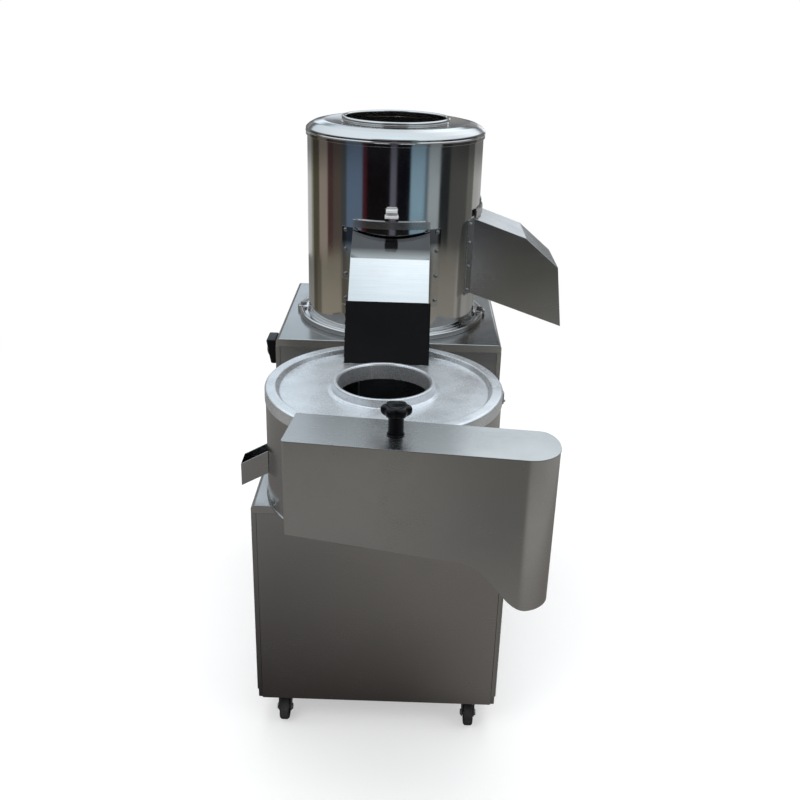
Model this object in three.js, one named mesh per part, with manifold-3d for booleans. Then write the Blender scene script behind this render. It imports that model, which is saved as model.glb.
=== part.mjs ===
// Potato washing and slicing machine: a stepped steel cabinet on casters carries an abrasive washing
// drum at the back and a centrifugal slicer at the front. Potatoes leave the washing drum through a hood
// and a rubber curtain into the slicer's feed collar, or through a chute on the right.
// Units are millimetres, X across, Y to the back, Z up from the floor.
import * as THREE from 'three';
import Module from 'manifold-3d';
import { mergeVertices } from 'three/addons/utils/BufferGeometryUtils.js';

const wasm = await Module();
wasm.setup();

// Driving dimensions
const frontDeckHeight = 484;
const deckStep = 184;
const casterHeight = 69;
const washDrumRadius = 178;
const washDrumHeight = 376;
const washRingReach = 19;
const slicerDrumRadius = 202.5;
const slicerDrumHeight = 188;
const slicerAxisY = 78;
const slicerStepGap = 64.5;
const washSideGap = 28;
const washDeckGap = 3;
const outletWidth = 149;

// The cabinet follows the two units on top of it
const washRingRadius = washDrumRadius + washRingReach;
const cabinetWidth = 2 * (washRingRadius + washSideGap);
const stepDepth = slicerAxisY + slicerDrumRadius + slicerStepGap;
const washAxisY = stepDepth + washDeckGap + washRingRadius;
const cabinetDepth = washAxisY + washRingRadius + washDeckGap;
const rearDeckHeight = frontDeckHeight + deckStep;
const washDrumTop = rearDeckHeight + washDrumHeight;
const slicerDrumTop = frontDeckHeight + slicerDrumHeight;

// Sheets, gaps and clearances
const sheet = 1.5;
const heavySheet = 2;
const seatGap = 0.3;
const slideGap = 0.7;
const runningGap = 0.3;
const shaftGap = 1.5;
const overrun = 3;
const boltRadius = 4;

// Circle steps
const wide = 48;
const middle = 24;
const small = 12;
const few = 8;

const steel = { color: 0x8b8a88, roughness: 0.35, metalness: 1 };
const polished = { color: 0xb9b7b4, roughness: 0.12, metalness: 1 };
const castMetal = { color: 0xb4b8bc, roughness: 0.55, metalness: 0.9 };
const zinc = { color: 0xa6a8aa, roughness: 0.4, metalness: 1 };
const darkPaint = { color: 0x35393d, roughness: 0.5, metalness: 0.3 };
const blackPlastic = { color: 0x141414, roughness: 0.45, metalness: 0 };
const blackRubber = { color: 0x0d0d0e, roughness: 0.8, metalness: 0 };
const grit = { color: 0x4d4944, roughness: 0.95, metalness: 0 };
const green = { color: 0x1d7a3a, roughness: 0.4, metalness: 0 };
const red = { color: 0xb3211c, roughness: 0.4, metalness: 0 };

// Solids from three.js geometry, and back
function solid(geometry) {
  const bare = geometry.clone();
  bare.deleteAttribute('normal');
  bare.deleteAttribute('uv');
  const merged = mergeVertices(bare);
  const vertProperties = merged.attributes.position.array;
  const triVerts = new Uint32Array(merged.index.array);
  return new wasm.Manifold(new wasm.Mesh({ numProp: 3, vertProperties, triVerts }));
}

function toGeometry(manifold) {
  const mesh = manifold.getMesh();
  const geometry = new THREE.BufferGeometry();
  geometry.setAttribute('position', new THREE.BufferAttribute(mesh.vertProperties, 3));
  geometry.setIndex(new THREE.BufferAttribute(mesh.triVerts, 1));
  const flat = geometry.toNonIndexed();
  flat.computeVertexNormals();
  return flat;
}

function join(...geometries) {
  return toGeometry(geometries.map(solid).reduce((sum, next) => sum.add(next)));
}

function cut(geometry, ...tools) {
  return toGeometry(tools.map(solid).reduce((rest, tool) => rest.subtract(tool), solid(geometry)));
}

function common(first, second) {
  return toGeometry(solid(first).intersect(solid(second)));
}

// Basic shapes: a box from two corners, upright rods and tubes, turned and extruded forms
function block(low, high) {
  const size = high.map((value, i) => value - low[i]);
  const geometry = new THREE.BoxGeometry(...size);
  return geometry.translate(...low.map((value, i) => value + size[i] / 2));
}

function rod(radius, low, high, steps = small) {
  const geometry = new THREE.CylinderGeometry(radius, radius, high - low, steps);
  return geometry.rotateX(Math.PI / 2).translate(0, 0, (low + high) / 2);
}

function turned(profile, steps = wide) {
  const points = [...profile, profile[0]].map(([r, z]) => new THREE.Vector2(r, z));
  let area = 0;
  for (let i = 0; i + 1 < points.length; i += 1) {
    area += points[i].x * points[i + 1].y - points[i + 1].x * points[i].y;
  }
  if (area < 0) points.reverse();
  return new THREE.LatheGeometry(points, steps).rotateX(Math.PI / 2);
}

function tube(inner, outer, low, high, steps = wide) {
  return turned([[inner, low], [outer, low], [outer, high], [inner, high]], steps);
}

function outline(points) {
  return new THREE.Shape(points.map(([x, y]) => new THREE.Vector2(x, y)));
}

function upright(shape, low, high, curveSegments = 12) {
  const options = { depth: high - low, bevelEnabled: false, curveSegments };
  return new THREE.ExtrudeGeometry(shape, options).translate(0, 0, low);
}

// A side view drawn in Y and Z, extruded across X
function across(points, low, high) {
  const geometry = upright(outline(points), low, high);
  const basis = new THREE.Matrix4().makeBasis(
    new THREE.Vector3(0, 1, 0), new THREE.Vector3(0, 0, 1), new THREE.Vector3(1, 0, 0),
  );
  return geometry.applyMatrix4(basis);
}

// A front view drawn in X and Z, extruded along Y
function along(points, low, high) {
  const geometry = upright(outline(points), -high, -low);
  const basis = new THREE.Matrix4().makeBasis(
    new THREE.Vector3(1, 0, 0), new THREE.Vector3(0, 0, 1), new THREE.Vector3(0, -1, 0),
  );
  return geometry.applyMatrix4(basis);
}

// A piece of a tube between two angles
function sector(inner, outer, from, to, low, high, steps = small) {
  const shape = new THREE.Shape();
  shape.absarc(0, 0, outer, from, to, false);
  shape.absarc(0, 0, inner, to, from, true);
  shape.closePath();
  return upright(shape, low, high, steps);
}

// An open line moved sideways by a distance, with mitred corners
function offsetLine(points, distance) {
  const normals = points.slice(1).map(([x, y], i) => {
    const side = new THREE.Vector2(-(y - points[i][1]), x - points[i][0]);
    return side.normalize();
  });
  return points.map(([x, y], i) => {
    const before = normals[Math.max(i - 1, 0)];
    const after = normals[Math.min(i, normals.length - 1)];
    const mitre = before.clone().add(after).normalize();
    const reach = distance / mitre.dot(before);
    return [x + mitre.x * reach, y + mitre.y * reach];
  });
}

function extended([x, y], [fromX, fromY], distance) {
  const way = new THREE.Vector2(x - fromX, y - fromY).normalize().multiplyScalar(distance);
  return [x + way.x, y + way.y];
}

function mesh(name, finish, geometry, position = [0, 0, 0], rotation = [0, 0, 0]) {
  const piece = new THREE.Mesh(geometry, new THREE.MeshStandardMaterial(finish));
  piece.name = name;
  piece.position.set(...position);
  piece.rotation.set(...rotation);
  return piece;
}

function group(position, ...children) {
  const result = new THREE.Group();
  result.position.set(...position);
  result.add(...children);
  return result;
}

// Cabinet
const flangeWidth = 9;
const deckFold = 15;
const sideGroundGap = 20;
const panRim = 35;
const returnDepth = 12;
const halfWidth = cabinetWidth / 2;
const panelHalf = halfWidth - flangeWidth - seatGap;
const innerHalf = halfWidth - sheet - seatGap;
const sideBottom = casterHeight + sideGroundGap;
const frontSideTop = frontDeckHeight - deckFold - seatGap;
const rearSideTop = rearDeckHeight - deckFold - seatGap;
const backInner = cabinetDepth - sheet - seatGap;

// Casters
const casterInset = 48;
const casterEdgeInset = 48;
const casterStemRadius = 5;
const casterSpots = [
  ['front_left', -1, -1], ['front_right', 1, -1], ['rear_left', -1, 1], ['rear_right', 1, 1],
];
const casterX = halfWidth - casterEdgeInset;
const casterPlace = ([, sideX, sideY]) => [
  sideX * casterX, sideY < 0 ? casterInset : cabinetDepth - casterInset, 0,
];

function basePan() {
  const front = sheet + seatGap;
  const outer = block([-innerHalf, front, casterHeight], [innerHalf, backInner, casterHeight + panRim]);
  const inner = block(
    [-innerHalf + heavySheet, front + heavySheet, casterHeight + heavySheet],
    [innerHalf - heavySheet, backInner - heavySheet, casterHeight + panRim + overrun],
  );
  const holes = casterSpots.map((spot) => {
    const [x, y] = casterPlace(spot);
    const radius = casterStemRadius + runningGap;
    return rod(radius, casterHeight - overrun, casterHeight + heavySheet + overrun).translate(x, y, 0);
  });
  return cut(outer, inner, ...holes);
}

function sidePanel(side) {
  const profile = [
    [0, sideBottom], [cabinetDepth, sideBottom], [cabinetDepth, rearSideTop], [stepDepth, rearSideTop],
    [stepDepth, frontSideTop], [0, frontSideTop],
  ];
  const wall = across(profile, halfWidth - sheet, halfWidth);
  const inner = halfWidth - flangeWidth;
  const panel = join(
    wall,
    block([inner, 0, sideBottom], [halfWidth, sheet, frontSideTop]),
    block([inner, stepDepth, frontSideTop - flangeWidth], [halfWidth, stepDepth + sheet, rearSideTop]),
    block([inner, cabinetDepth - sheet, sideBottom], [halfWidth, cabinetDepth, rearSideTop]),
  );
  return side > 0 ? panel : toGeometry(solid(panel).mirror([1, 0, 0]));
}

function frontPanel() {
  const returnBottom = casterHeight + panRim + seatGap;
  const face = block([-panelHalf, 0, casterHeight], [panelHalf, sheet, frontSideTop]);
  const edges = [-1, 1].map((side) => {
    const outer = side * panelHalf;
    const inner = side * (panelHalf - sheet);
    const low = [Math.min(outer, inner), 0, returnBottom];
    return block(low, [Math.max(outer, inner), returnDepth, frontSideTop]);
  });
  return join(face, ...edges);
}

function foldedDeck(front, back, top, holes) {
  const outer = block([-halfWidth, front, top - deckFold], [halfWidth, back, top]);
  const inner = block(
    [-halfWidth + sheet, front + sheet, top - deckFold - overrun],
    [halfWidth - sheet, back - sheet, top - heavySheet],
  );
  return cut(outer, inner, ...holes);
}

// Vent slots in the rear panel, in two columns of rows
const ventWidth = 120;
const ventHeight = 6;
const ventPitch = 22;
const ventRows = 8;
const ventBottom = 200;
const ventColumn = 95;
const glandThread = 8;
const glandPlace = [-150, 165];

function rearPanel() {
  const face = block([-panelHalf, backInner + seatGap, sideBottom], [panelHalf, cabinetDepth, rearSideTop]);
  const slots = [];
  for (let row = 0; row < ventRows; row += 1) {
    for (const side of [-1, 1]) {
      const x = side * ventColumn;
      const z = ventBottom + row * ventPitch;
      slots.push(block(
        [x - ventWidth / 2, backInner - overrun, z],
        [x + ventWidth / 2, cabinetDepth + overrun, z + ventHeight],
      ));
    }
  }
  const hole = rod(glandThread + runningGap, -overrun, overrun + sheet).rotateX(Math.PI / 2);
  return cut(face, ...slots, hole.translate(glandPlace[0], cabinetDepth, glandPlace[1]));
}

function stepPanel() {
  return block(
    [-panelHalf, stepDepth, frontDeckHeight + seatGap],
    [panelHalf, stepDepth + sheet, rearSideTop],
  );
}

const glandNut = 12;
const glandNutDepth = 8;
const glandDome = 9;
const glandDomeDepth = 12;
const glandBore = 4;
const glandReach = 14;

function cableGland() {
  const body = turned([
    [glandBore, -glandReach], [glandThread, -glandReach], [glandThread, seatGap], [glandNut, seatGap],
    [glandNut, glandNutDepth], [glandDome, glandNutDepth],
    [glandDome - heavySheet, glandNutDepth + glandDomeDepth], [glandBore, glandNutDepth + glandDomeDepth],
  ], small);
  return body.rotateX(-Math.PI / 2);
}

// Switch on the left wall: a wedge housing with two push-buttons on its slanting face
const switchWidth = 50;
const switchHeight = 50;
const switchTopReach = 20;
const switchBottomReach = 11;
const switchTopDrop = 6;
const switchSetback = 8;
const buttonRadius = 8.5;
const buttonGap = 0.5;
const buttonReach = 3;
const buttonDepth = 9;
const buttonTravel = 2.5;
const buttonPitch = 23;
const switchTop = rearDeckHeight - switchTopDrop;
const switchSlant = Math.atan2(switchTopReach - switchBottomReach, switchHeight);
const switchFaceX = -(halfWidth + seatGap + (switchTopReach + switchBottomReach) / 2);
const switchCentre = [switchFaceX, stepDepth + switchSetback + switchWidth / 2, switchTop - switchHeight / 2];

function onSwitch(geometry, shift) {
  const turn = geometry.rotateY(-Math.PI / 2 - switchSlant);
  return turn.translate(switchCentre[0], switchCentre[1] + shift, switchCentre[2]);
}

function switchHousing() {
  const wall = -(halfWidth + seatGap);
  const front = stepDepth + switchSetback;
  const body = along([
    [wall, switchTop], [wall - switchTopReach, switchTop],
    [wall - switchBottomReach, switchTop - switchHeight], [wall, switchTop - switchHeight],
  ], front, front + switchWidth);
  const depth = buttonDepth + buttonTravel;
  const wells = [-1, 1].map((side) => {
    const well = rod(buttonRadius + buttonGap, -depth, overrun);
    return onSwitch(well, side * buttonPitch / 2);
  });
  return cut(body, ...wells);
}

function pushButton(side) {
  const cap = rod(buttonRadius, seatGap - buttonDepth, buttonReach);
  return onSwitch(cap, side * buttonPitch / 2);
}

// Washing unit, drawn round its own axis
const washFloorRise = 22;
const washFloor = 4;
const washRingHeight = 12;
const washSkirtInset = 18;
const washLugReach = 13;
const washLugRadius = 12;
const washShaftRadius = 12.5;
const linerThickness = 4.7;
const discGap = 6;
const discRise = 26;
const discThickness = 12;
const discHubRadius = 32;
const discHubDrop = 20;
const rampHeight = 6;
const rampWidth = 24;
const rampCount = 4;
const capRadius = 24;
const capHeight = 8;
const deckSeat = rearDeckHeight + seatGap;
const washFloorTop = rearDeckHeight + washFloorRise;
const washRingTop = rearDeckHeight + washRingHeight;
const washSkirt = washDrumRadius - washSkirtInset;
const washLugCentre = washDrumRadius + washLugReach;
const discBottom = washFloorTop + discRise;
const washInner = washDrumRadius - heavySheet;
const linerOuter = washInner - seatGap;
const linerInner = linerOuter - linerThickness;
const discRadius = linerInner - discGap;
const linerTop = washDrumTop - seatGap;
const lugAngles = [-Math.PI / 2, 0, Math.PI / 2, Math.PI];

function washBase() {
  const floorEdge = washInner - seatGap;
  const ring = turned([
    [washShaftRadius + shaftGap, washFloorTop - washFloor], [washSkirt, washFloorTop - washFloor],
    [washSkirt, deckSeat], [washRingRadius, deckSeat], [washRingRadius, washRingTop],
    [floorEdge, washRingTop], [floorEdge, washFloorTop], [washShaftRadius + shaftGap, washFloorTop],
  ]);
  const lugs = lugAngles.map((angle) => {
    const lug = rod(washLugRadius, deckSeat, washRingTop);
    return lug.translate(washLugCentre, 0, 0).rotateZ(angle);
  });
  const holes = lugAngles.map((angle) => {
    const hole = rod(boltRadius + runningGap, deckSeat - overrun, washRingTop + overrun);
    return hole.translate(washLugCentre, 0, 0).rotateZ(angle);
  });
  const seat = tube(washDrumRadius - heavySheet - seatGap, washDrumRadius + seatGap,
    washRingTop, washRingTop + overrun);
  return cut(join(ring, ...lugs), seat, ...holes);
}

const boltHeadRadius = 7;
const boltHeadHeight = 5.5;
const boltReach = 22;

function lugBolt() {
  const headBottom = washRingTop + seatGap;
  const head = rod(boltHeadRadius, headBottom, headBottom + boltHeadHeight, 6);
  return join(head, rod(boltRadius, headBottom - boltReach, headBottom + boltHeadHeight / 2, few));
}

function lugBoltHole() {
  const hole = rod(boltRadius + runningGap, rearDeckHeight - deckFold, rearDeckHeight + overrun);
  return hole.translate(washLugCentre, 0, 0);
}

// Outlets: the hood at the front and the chute at the right share width, gate and guide strip. They are
// drawn pointing along X, as distances from the drum's axis and heights.
const feedGap = 125;
const lipGap = 162;
const hoodRise = 220;
const hoodFoldReach = 65;
const hoodFoldDrop = 40;
const hoodLipDrop = 105;
const hoodFloorRise = 114;
const hoodFloorGap = 14;
const lidRimRise = 16;
const chuteRise = 225.5;
const chuteFoldReach = 94;
const chuteFoldDrop = 38.5;
const chuteLipReach = 163;
const chuteLipDrop = 96.5;
const chuteFloorRise = 70;
const chuteFloorReach = 178.5;
const chuteFloorDrop = 67;
const chuteFlange = 24;
const outletHalf = outletWidth / 2;
const mouthRun = outletWidth / 4;
const outletRoot = Math.sqrt(washDrumRadius ** 2 - outletHalf ** 2);
const axisDistance = washAxisY - slicerAxisY;
const slicerLidTop = slicerDrumTop + lidRimRise;
const hoodTop = rearDeckHeight + hoodRise;
const chuteTop = rearDeckHeight + chuteRise;
const hoodLine = [
  [outletRoot, hoodTop], [washDrumRadius + hoodFoldReach, hoodTop - hoodFoldDrop],
  [axisDistance - lipGap, hoodTop - hoodLipDrop],
];
const hoodFloor = [
  [outletRoot, rearDeckHeight + hoodFloorRise], [axisDistance - feedGap, slicerLidTop + hoodFloorGap],
];
const chuteLine = [
  [outletRoot, chuteTop], [washDrumRadius + chuteFoldReach, chuteTop - chuteFoldDrop],
  [washDrumRadius + chuteLipReach, chuteTop - chuteLipDrop],
];
const chuteFloor = [
  [outletRoot, rearDeckHeight + chuteFloorRise],
  [washDrumRadius + chuteFloorReach, rearDeckHeight + chuteFloorRise - chuteFloorDrop],
];

// Gates: curved plates outside the drum, each behind a guide strip. The front one has a pull with two
// lips, and the side one a plain tab.
const gateHalf = 65;
const gateSheet = 2;
const gateRun = 1;
const frontGateRise = 108;
const sideGateRise = 84;
const openingHalf = 60;
const openingDrop = 18;
const gateLap = 10;
const guideLift = 1.5;
const guideHeight = 15;
const guideSheet = 2.5;
const handleHalf = 13;
const handleRise = 8;
const handleHeight = 24;
const tabHeight = 12;
const handleLip = 14;
const handleLipHeight = 5;
const frontGateBottom = rearDeckHeight + frontGateRise;
const sideGateBottom = rearDeckHeight + sideGateRise;
const openingTop = hoodTop - openingDrop;
const gateInner = washDrumRadius + slideGap;
const gateOuter = gateInner + gateSheet;
const channelRadius = gateOuter + slideGap;
const guideOuter = channelRadius + guideSheet;

const reachAngle = (half, radius) => Math.asin(half / radius);

function outletShell(topLine, floorLine) {
  const inward = washDrumRadius - topLine[0][0] + overrun;
  const startTop = extended(topLine[0], topLine[1], inward);
  const startFloor = extended(floorLine[0], floorLine[1], inward);
  const top = [startTop, ...topLine.slice(1)];
  const floor = [startFloor, ...floorLine.slice(1)];
  const innerTop = offsetLine(top, -sheet);
  const innerFloor = offsetLine(floor, sheet);
  const last = innerTop.length - 1;
  innerTop[0] = extended(innerTop[0], innerTop[1], overrun);
  innerFloor[0] = extended(innerFloor[0], innerFloor[1], overrun);
  innerTop.push(extended(innerTop[last], innerTop[last - 1], mouthRun));
  innerFloor[1] = extended(innerFloor[1], innerFloor[0], mouthRun);
  const outer = along([...top, ...[...floor].reverse()], -outletHalf, outletHalf);
  const inner = along([...innerTop, ...innerFloor.reverse()], -outletHalf + sheet, outletHalf - sheet);
  const drum = rod(washDrumRadius + seatGap, deckSeat, washDrumTop, wide);
  const channelHalf = gateHalf + gateRun;
  const channel = common(
    rod(channelRadius, deckSeat, washDrumTop, wide),
    block([0, -channelHalf, deckSeat], [channelRadius + overrun, channelHalf, washDrumTop]),
  );
  const flangeAngle = reachAngle(outletHalf, washDrumRadius);
  const flangeReach = chuteFlange / washDrumRadius;
  const low = floorLine[0][1];
  const high = topLine[0][1];
  const inside = washDrumRadius;
  const flanges = [-1, 1].map((side) => {
    const from = side > 0 ? flangeAngle - flangeReach / 4 : -flangeAngle - flangeReach;
    return sector(inside, inside + sheet + seatGap, from, from + flangeReach * 5 / 4, low, high, 4);
  });
  return cut(join(cut(outer, inner), ...flanges), drum, channel);
}

function gateGuide(top) {
  const low = top + guideLift;
  const high = low + guideHeight;
  const angle = reachAngle(outletHalf, guideOuter);
  const channelAngle = reachAngle(gateHalf + gateRun, channelRadius);
  const strip = sector(washDrumRadius + seatGap, guideOuter, -angle, angle, low, high);
  const channel = sector(
    washDrumRadius, channelRadius, -channelAngle, channelAngle, low - overrun, high + overrun,
  );
  return cut(strip, channel);
}

function gate(bottom, top, pullHeight, lipHeights) {
  const gateTop = top + guideLift + guideHeight + seatGap;
  const angle = reachAngle(gateHalf, gateOuter);
  const handleAngle = reachAngle(handleHalf, gateOuter);
  const plate = sector(gateInner, gateOuter, -angle, angle, bottom, gateTop);
  const tab = sector(
    gateInner, gateOuter, -handleAngle, handleAngle, gateTop - overrun, gateTop + pullHeight, 4,
  );
  const lips = lipHeights.map((height) => block(
    [gateInner + gateSheet / 2, -handleHalf, gateTop + height],
    [gateOuter + handleLip, handleHalf, gateTop + height + handleLipHeight],
  ));
  return join(plate, tab, ...lips);
}

function wallOpening(bottom, inner, outer, margin) {
  const angle = reachAngle(openingHalf, washDrumRadius);
  const low = bottom + gateLap - margin;
  return sector(inner - overrun, outer + overrun, -angle, angle, low, openingTop + margin);
}

// Water inlet and drain at the back of the washing drum
const inletDrop = 44;
const inletRadius = 8;
const inletBore = 5.5;
const inletFlange = 15;
const pipeFlangeDepth = 3;
const inletLength = 42;
const barbCount = 3;
const barbPitch = 7;
const barbHeight = 1.5;
const drainRise = 14;
const drainRadius = 13;
const drainBore = 11.5;
const drainLength = 36;
const drainFlange = 15;
const inletHeight = washDrumTop - inletDrop;
const drainHeight = washFloorTop + drainRise;

function washDrum() {
  const shell = tube(washInner, washDrumRadius, washRingTop + seatGap, washDrumTop);
  const inletHole = rod(inletBore, 0, washDrumRadius + overrun).rotateX(-Math.PI / 2);
  const drainHole = rod(drainBore, 0, washDrumRadius + overrun).rotateX(-Math.PI / 2);
  return cut(
    shell,
    wallOpening(frontGateBottom, washInner, washDrumRadius, 0).rotateZ(-Math.PI / 2),
    wallOpening(sideGateBottom, washInner, washDrumRadius, 0),
    inletHole.translate(0, 0, inletHeight),
    drainHole.translate(0, 0, drainHeight),
  );
}

function abrasiveLiner() {
  const shell = tube(linerInner, linerOuter, washFloorTop + seatGap, linerTop);
  const inletHole = rod(inletBore, 0, washDrumRadius + overrun).rotateX(-Math.PI / 2);
  const drainHole = rod(drainBore, 0, washDrumRadius + overrun).rotateX(-Math.PI / 2);
  return cut(
    shell,
    wallOpening(frontGateBottom, linerInner, linerOuter, sheet).rotateZ(-Math.PI / 2),
    wallOpening(sideGateBottom, linerInner, linerOuter, sheet),
    inletHole.translate(0, 0, inletHeight),
    drainHole.translate(0, 0, drainHeight),
  );
}

function pipe(bore, radius, flange, length, barbs) {
  const wall = washDrumRadius + seatGap;
  const shoulder = wall + pipeFlangeDepth;
  const profile = [[bore, wall], [flange, wall], [flange, shoulder], [radius, shoulder]];
  for (let barb = barbs; barb > 0; barb -= 1) {
    const at = wall + length - barb * barbPitch;
    profile.push([radius, at], [radius + barbHeight, at + barbHeight], [radius, at + barbPitch - barbHeight]);
  }
  profile.push([radius, wall + length], [bore, wall + length]);
  const turnedPipe = turned(profile, small).rotateX(-Math.PI / 2);
  return cut(turnedPipe, rod(wall, -flange - overrun, flange + overrun, wide));
}

// Lift-off lid: a pressed ring with a bead over the drum's edge and a collar round the filling hole
const lidSkirt = 13;
const lidSkirtOut = 2.7;
const lidBeadOut = 3.6;
const lidHole = 101;
const lidCollarWall = 4.5;
const lidRimReach = 8.5;
const lidRimHeight = 8;
const lidRise = 35.4;
const lidDomeShares = [[0.985, 0.48], [0.93, 0.65], [0.82, 0.77], [0.62, 0.68]];

function washLid() {
  const inner = washDrumRadius + seatGap;
  const skirt = washDrumRadius + lidSkirtOut;
  const collar = lidHole + lidCollarWall;
  const rim = lidHole + lidRimReach;
  const top = washDrumTop + lidRise;
  const dome = lidDomeShares.map(([reach, rise]) => [washDrumRadius * reach, washDrumTop + lidRise * rise]);
  const collarFoot = dome[dome.length - 1][1];
  const under = offsetLine([...dome, [collar, collarFoot]], sheet);
  return turned([
    [inner, washDrumTop - sheet], [skirt, washDrumTop - sheet],
    [washDrumRadius + lidBeadOut, washDrumTop + lidSkirt / 2], [skirt, washDrumTop + lidSkirt],
    ...dome, [collar, collarFoot], [collar, top - lidRimHeight], [rim, top - lidRimHeight + sheet],
    [rim, top - sheet], [rim - sheet, top], [lidHole, top], [lidHole, under[under.length - 1][1]],
    ...under.slice(0, -1).reverse(), [inner, washDrumTop + seatGap],
  ]);
}

function abrasiveDisc() {
  const top = discBottom + discThickness;
  const hubBottom = discBottom - discHubDrop;
  const disc = turned([
    [washShaftRadius + seatGap, hubBottom], [discHubRadius, hubBottom], [discHubRadius, discBottom],
    [discRadius, discBottom], [discRadius, top], [washShaftRadius + seatGap, top],
  ]);
  const ramps = [];
  for (let i = 0; i < rampCount; i += 1) {
    const ramp = across(
      [[0, top - overrun], [rampWidth, top - overrun], [rampWidth, top], [rampWidth / 2, top + rampHeight],
        [0, top]],
      capRadius, discRadius - discGap,
    );
    ramps.push(ramp.rotateZ((i / rampCount) * 2 * Math.PI));
  }
  const cap = turned([
    [0, top - overrun], [capRadius + overrun, top - overrun], [capRadius + overrun, top + rampHeight],
    [capRadius / 2, top + capHeight], [0, top + capHeight],
  ], middle);
  const bore = rod(washShaftRadius + seatGap, hubBottom - overrun, top - overrun - seatGap);
  return cut(join(disc, ...ramps, cap), bore);
}

// Rubber curtain, hanging from the hood's lip against the front edges of the hood's side walls
const curtainLength = 108;
const curtainThickness = 4;
const curtainOverhang = 2.5;
const curtainLift = 1;

function curtainFrame() {
  const lip = hoodLine[hoodLine.length - 1];
  const foot = hoodFloor[1];
  const down = new THREE.Vector2(foot[0] - lip[0], foot[1] - lip[1]).normalize();
  return { lip, down, out: new THREE.Vector2(-down.y, down.x) };
}

function rubberCurtain() {
  const { lip, down, out } = curtainFrame();
  const corner = (drop, reach) => [
    lip[0] + down.x * drop + out.x * reach, lip[1] + down.y * drop + out.y * reach,
  ];
  const half = outletHalf + curtainOverhang;
  return along([
    corner(curtainLift, seatGap), corner(curtainLift, seatGap + curtainThickness),
    corner(curtainLength, seatGap + curtainThickness), corner(curtainLength, seatGap),
  ], -half, half);
}

// Slicing unit, drawn round its own axis
const slicerSheet = 2;
const slicerFloorRise = 50;
const slicerFloor = 3;
const slicerShaftRadius = 11;
const slicerSeat = frontDeckHeight + seatGap;
const slicerFloorTop = frontDeckHeight + slicerFloorRise;
const knifeAngle = -Math.PI / 3;
const knifeSpread = Math.PI / 15;
const knifeTopDrop = 10;
const knifeBottomRise = 14;
const knifeLap = 3;
const knifeHolderThickness = 5;
const knifeHolderSpread = Math.PI / 12;
const bladeLength = 24;
const bladeThickness = 1.5;
const bladeTilt = Math.PI / 18;
const bladeOffset = 1.6;

// Waste spout on the left, an open channel sloping down and out
const spoutWidth = 40;
const spoutShift = -38;
const spoutReach = 39.5;
const spoutWall = 42;
const spoutSlope = Math.tan(Math.PI * 28.5 / 180);
const spoutFloorRise = -0.5;
const spoutLip = 3;

function spoutProfile(raise, start, end) {
  const floorAtDrum = slicerFloorTop + spoutFloorRise;
  const height = (x) => floorAtDrum + (x + slicerDrumRadius) * spoutSlope;
  return [
    [end, height(end) + raise], [start, height(start) + raise],
    [start, height(start) + spoutWall], [end, height(end) + spoutWall],
  ];
}

function wasteSpout() {
  const end = -(slicerDrumRadius + spoutReach);
  const start = -(slicerDrumRadius - slicerSheet * 4);
  const half = spoutWidth / 2;
  const outer = along(spoutProfile(0, start, end), spoutShift - half, spoutShift + half);
  const hollow = spoutProfile(sheet, start + overrun, end - overrun);
  hollow[2][1] += overrun;
  hollow[3][1] += overrun;
  const inner = along(hollow, spoutShift - half + sheet, spoutShift + half - sheet);
  return cut(outer, inner, rod(slicerDrumRadius + seatGap, slicerSeat, slicerDrumTop, wide));
}

function slicerDrum() {
  const inner = slicerDrumRadius - slicerSheet;
  const bore = slicerShaftRadius + shaftGap;
  const pan = turned([
    [inner, slicerSeat], [slicerDrumRadius, slicerSeat], [slicerDrumRadius, slicerDrumTop],
    [inner, slicerDrumTop], [inner, slicerFloorTop], [bore, slicerFloorTop],
    [bore, slicerFloorTop - slicerFloor], [inner, slicerFloorTop - slicerFloor],
  ]);
  const half = spoutWidth / 2 - spoutLip;
  const spoutTop = slicerFloorTop + spoutWall - spoutLip;
  const spoutHole = block(
    [-slicerDrumRadius - overrun, spoutShift - half, slicerFloorTop + spoutFloorRise + spoutLip],
    [-inner + overrun * 4, spoutShift + half, spoutTop],
  );
  const knifeHole = sector(
    inner - overrun, slicerDrumRadius + overrun, knifeAngle - knifeSpread, knifeAngle + knifeSpread,
    slicerFloorTop + knifeBottomRise, slicerDrumTop - knifeTopDrop,
  );
  return cut(pan, spoutHole, knifeHole);
}

function knifeHolder() {
  const inner = slicerDrumRadius + seatGap;
  return sector(
    inner, inner + knifeHolderThickness, knifeAngle - knifeHolderSpread, knifeAngle,
    slicerFloorTop + knifeBottomRise - knifeLap, slicerDrumTop - knifeTopDrop + knifeLap, 6,
  );
}

function knifeBlade() {
  const low = slicerFloorTop + knifeBottomRise + seatGap;
  const high = slicerDrumTop - knifeTopDrop - seatGap;
  const blade = block([-bladeThickness / 2, seatGap, low], [bladeThickness / 2, bladeLength, high]);
  return blade.rotateZ(bladeTilt).translate(slicerDrumRadius + bladeOffset, 0, 0).rotateZ(knifeAngle);
}

// Cast lid with a raised rim, a dished middle and the feed collar
const lidReach = 1.5;
const lidDishRise = 6;
const lidRimWidth = 20;
const lidRimSlope = 4;
const lidEdgeDrop = 6;
const feedRadius = 80;
const feedWall = 8;
const feedFlare = 10;
const feedRise = 22;
const feedFlareRise = 14;
const feedDrop = 8;
const slicerLidRadius = slicerDrumRadius + lidReach;

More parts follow.
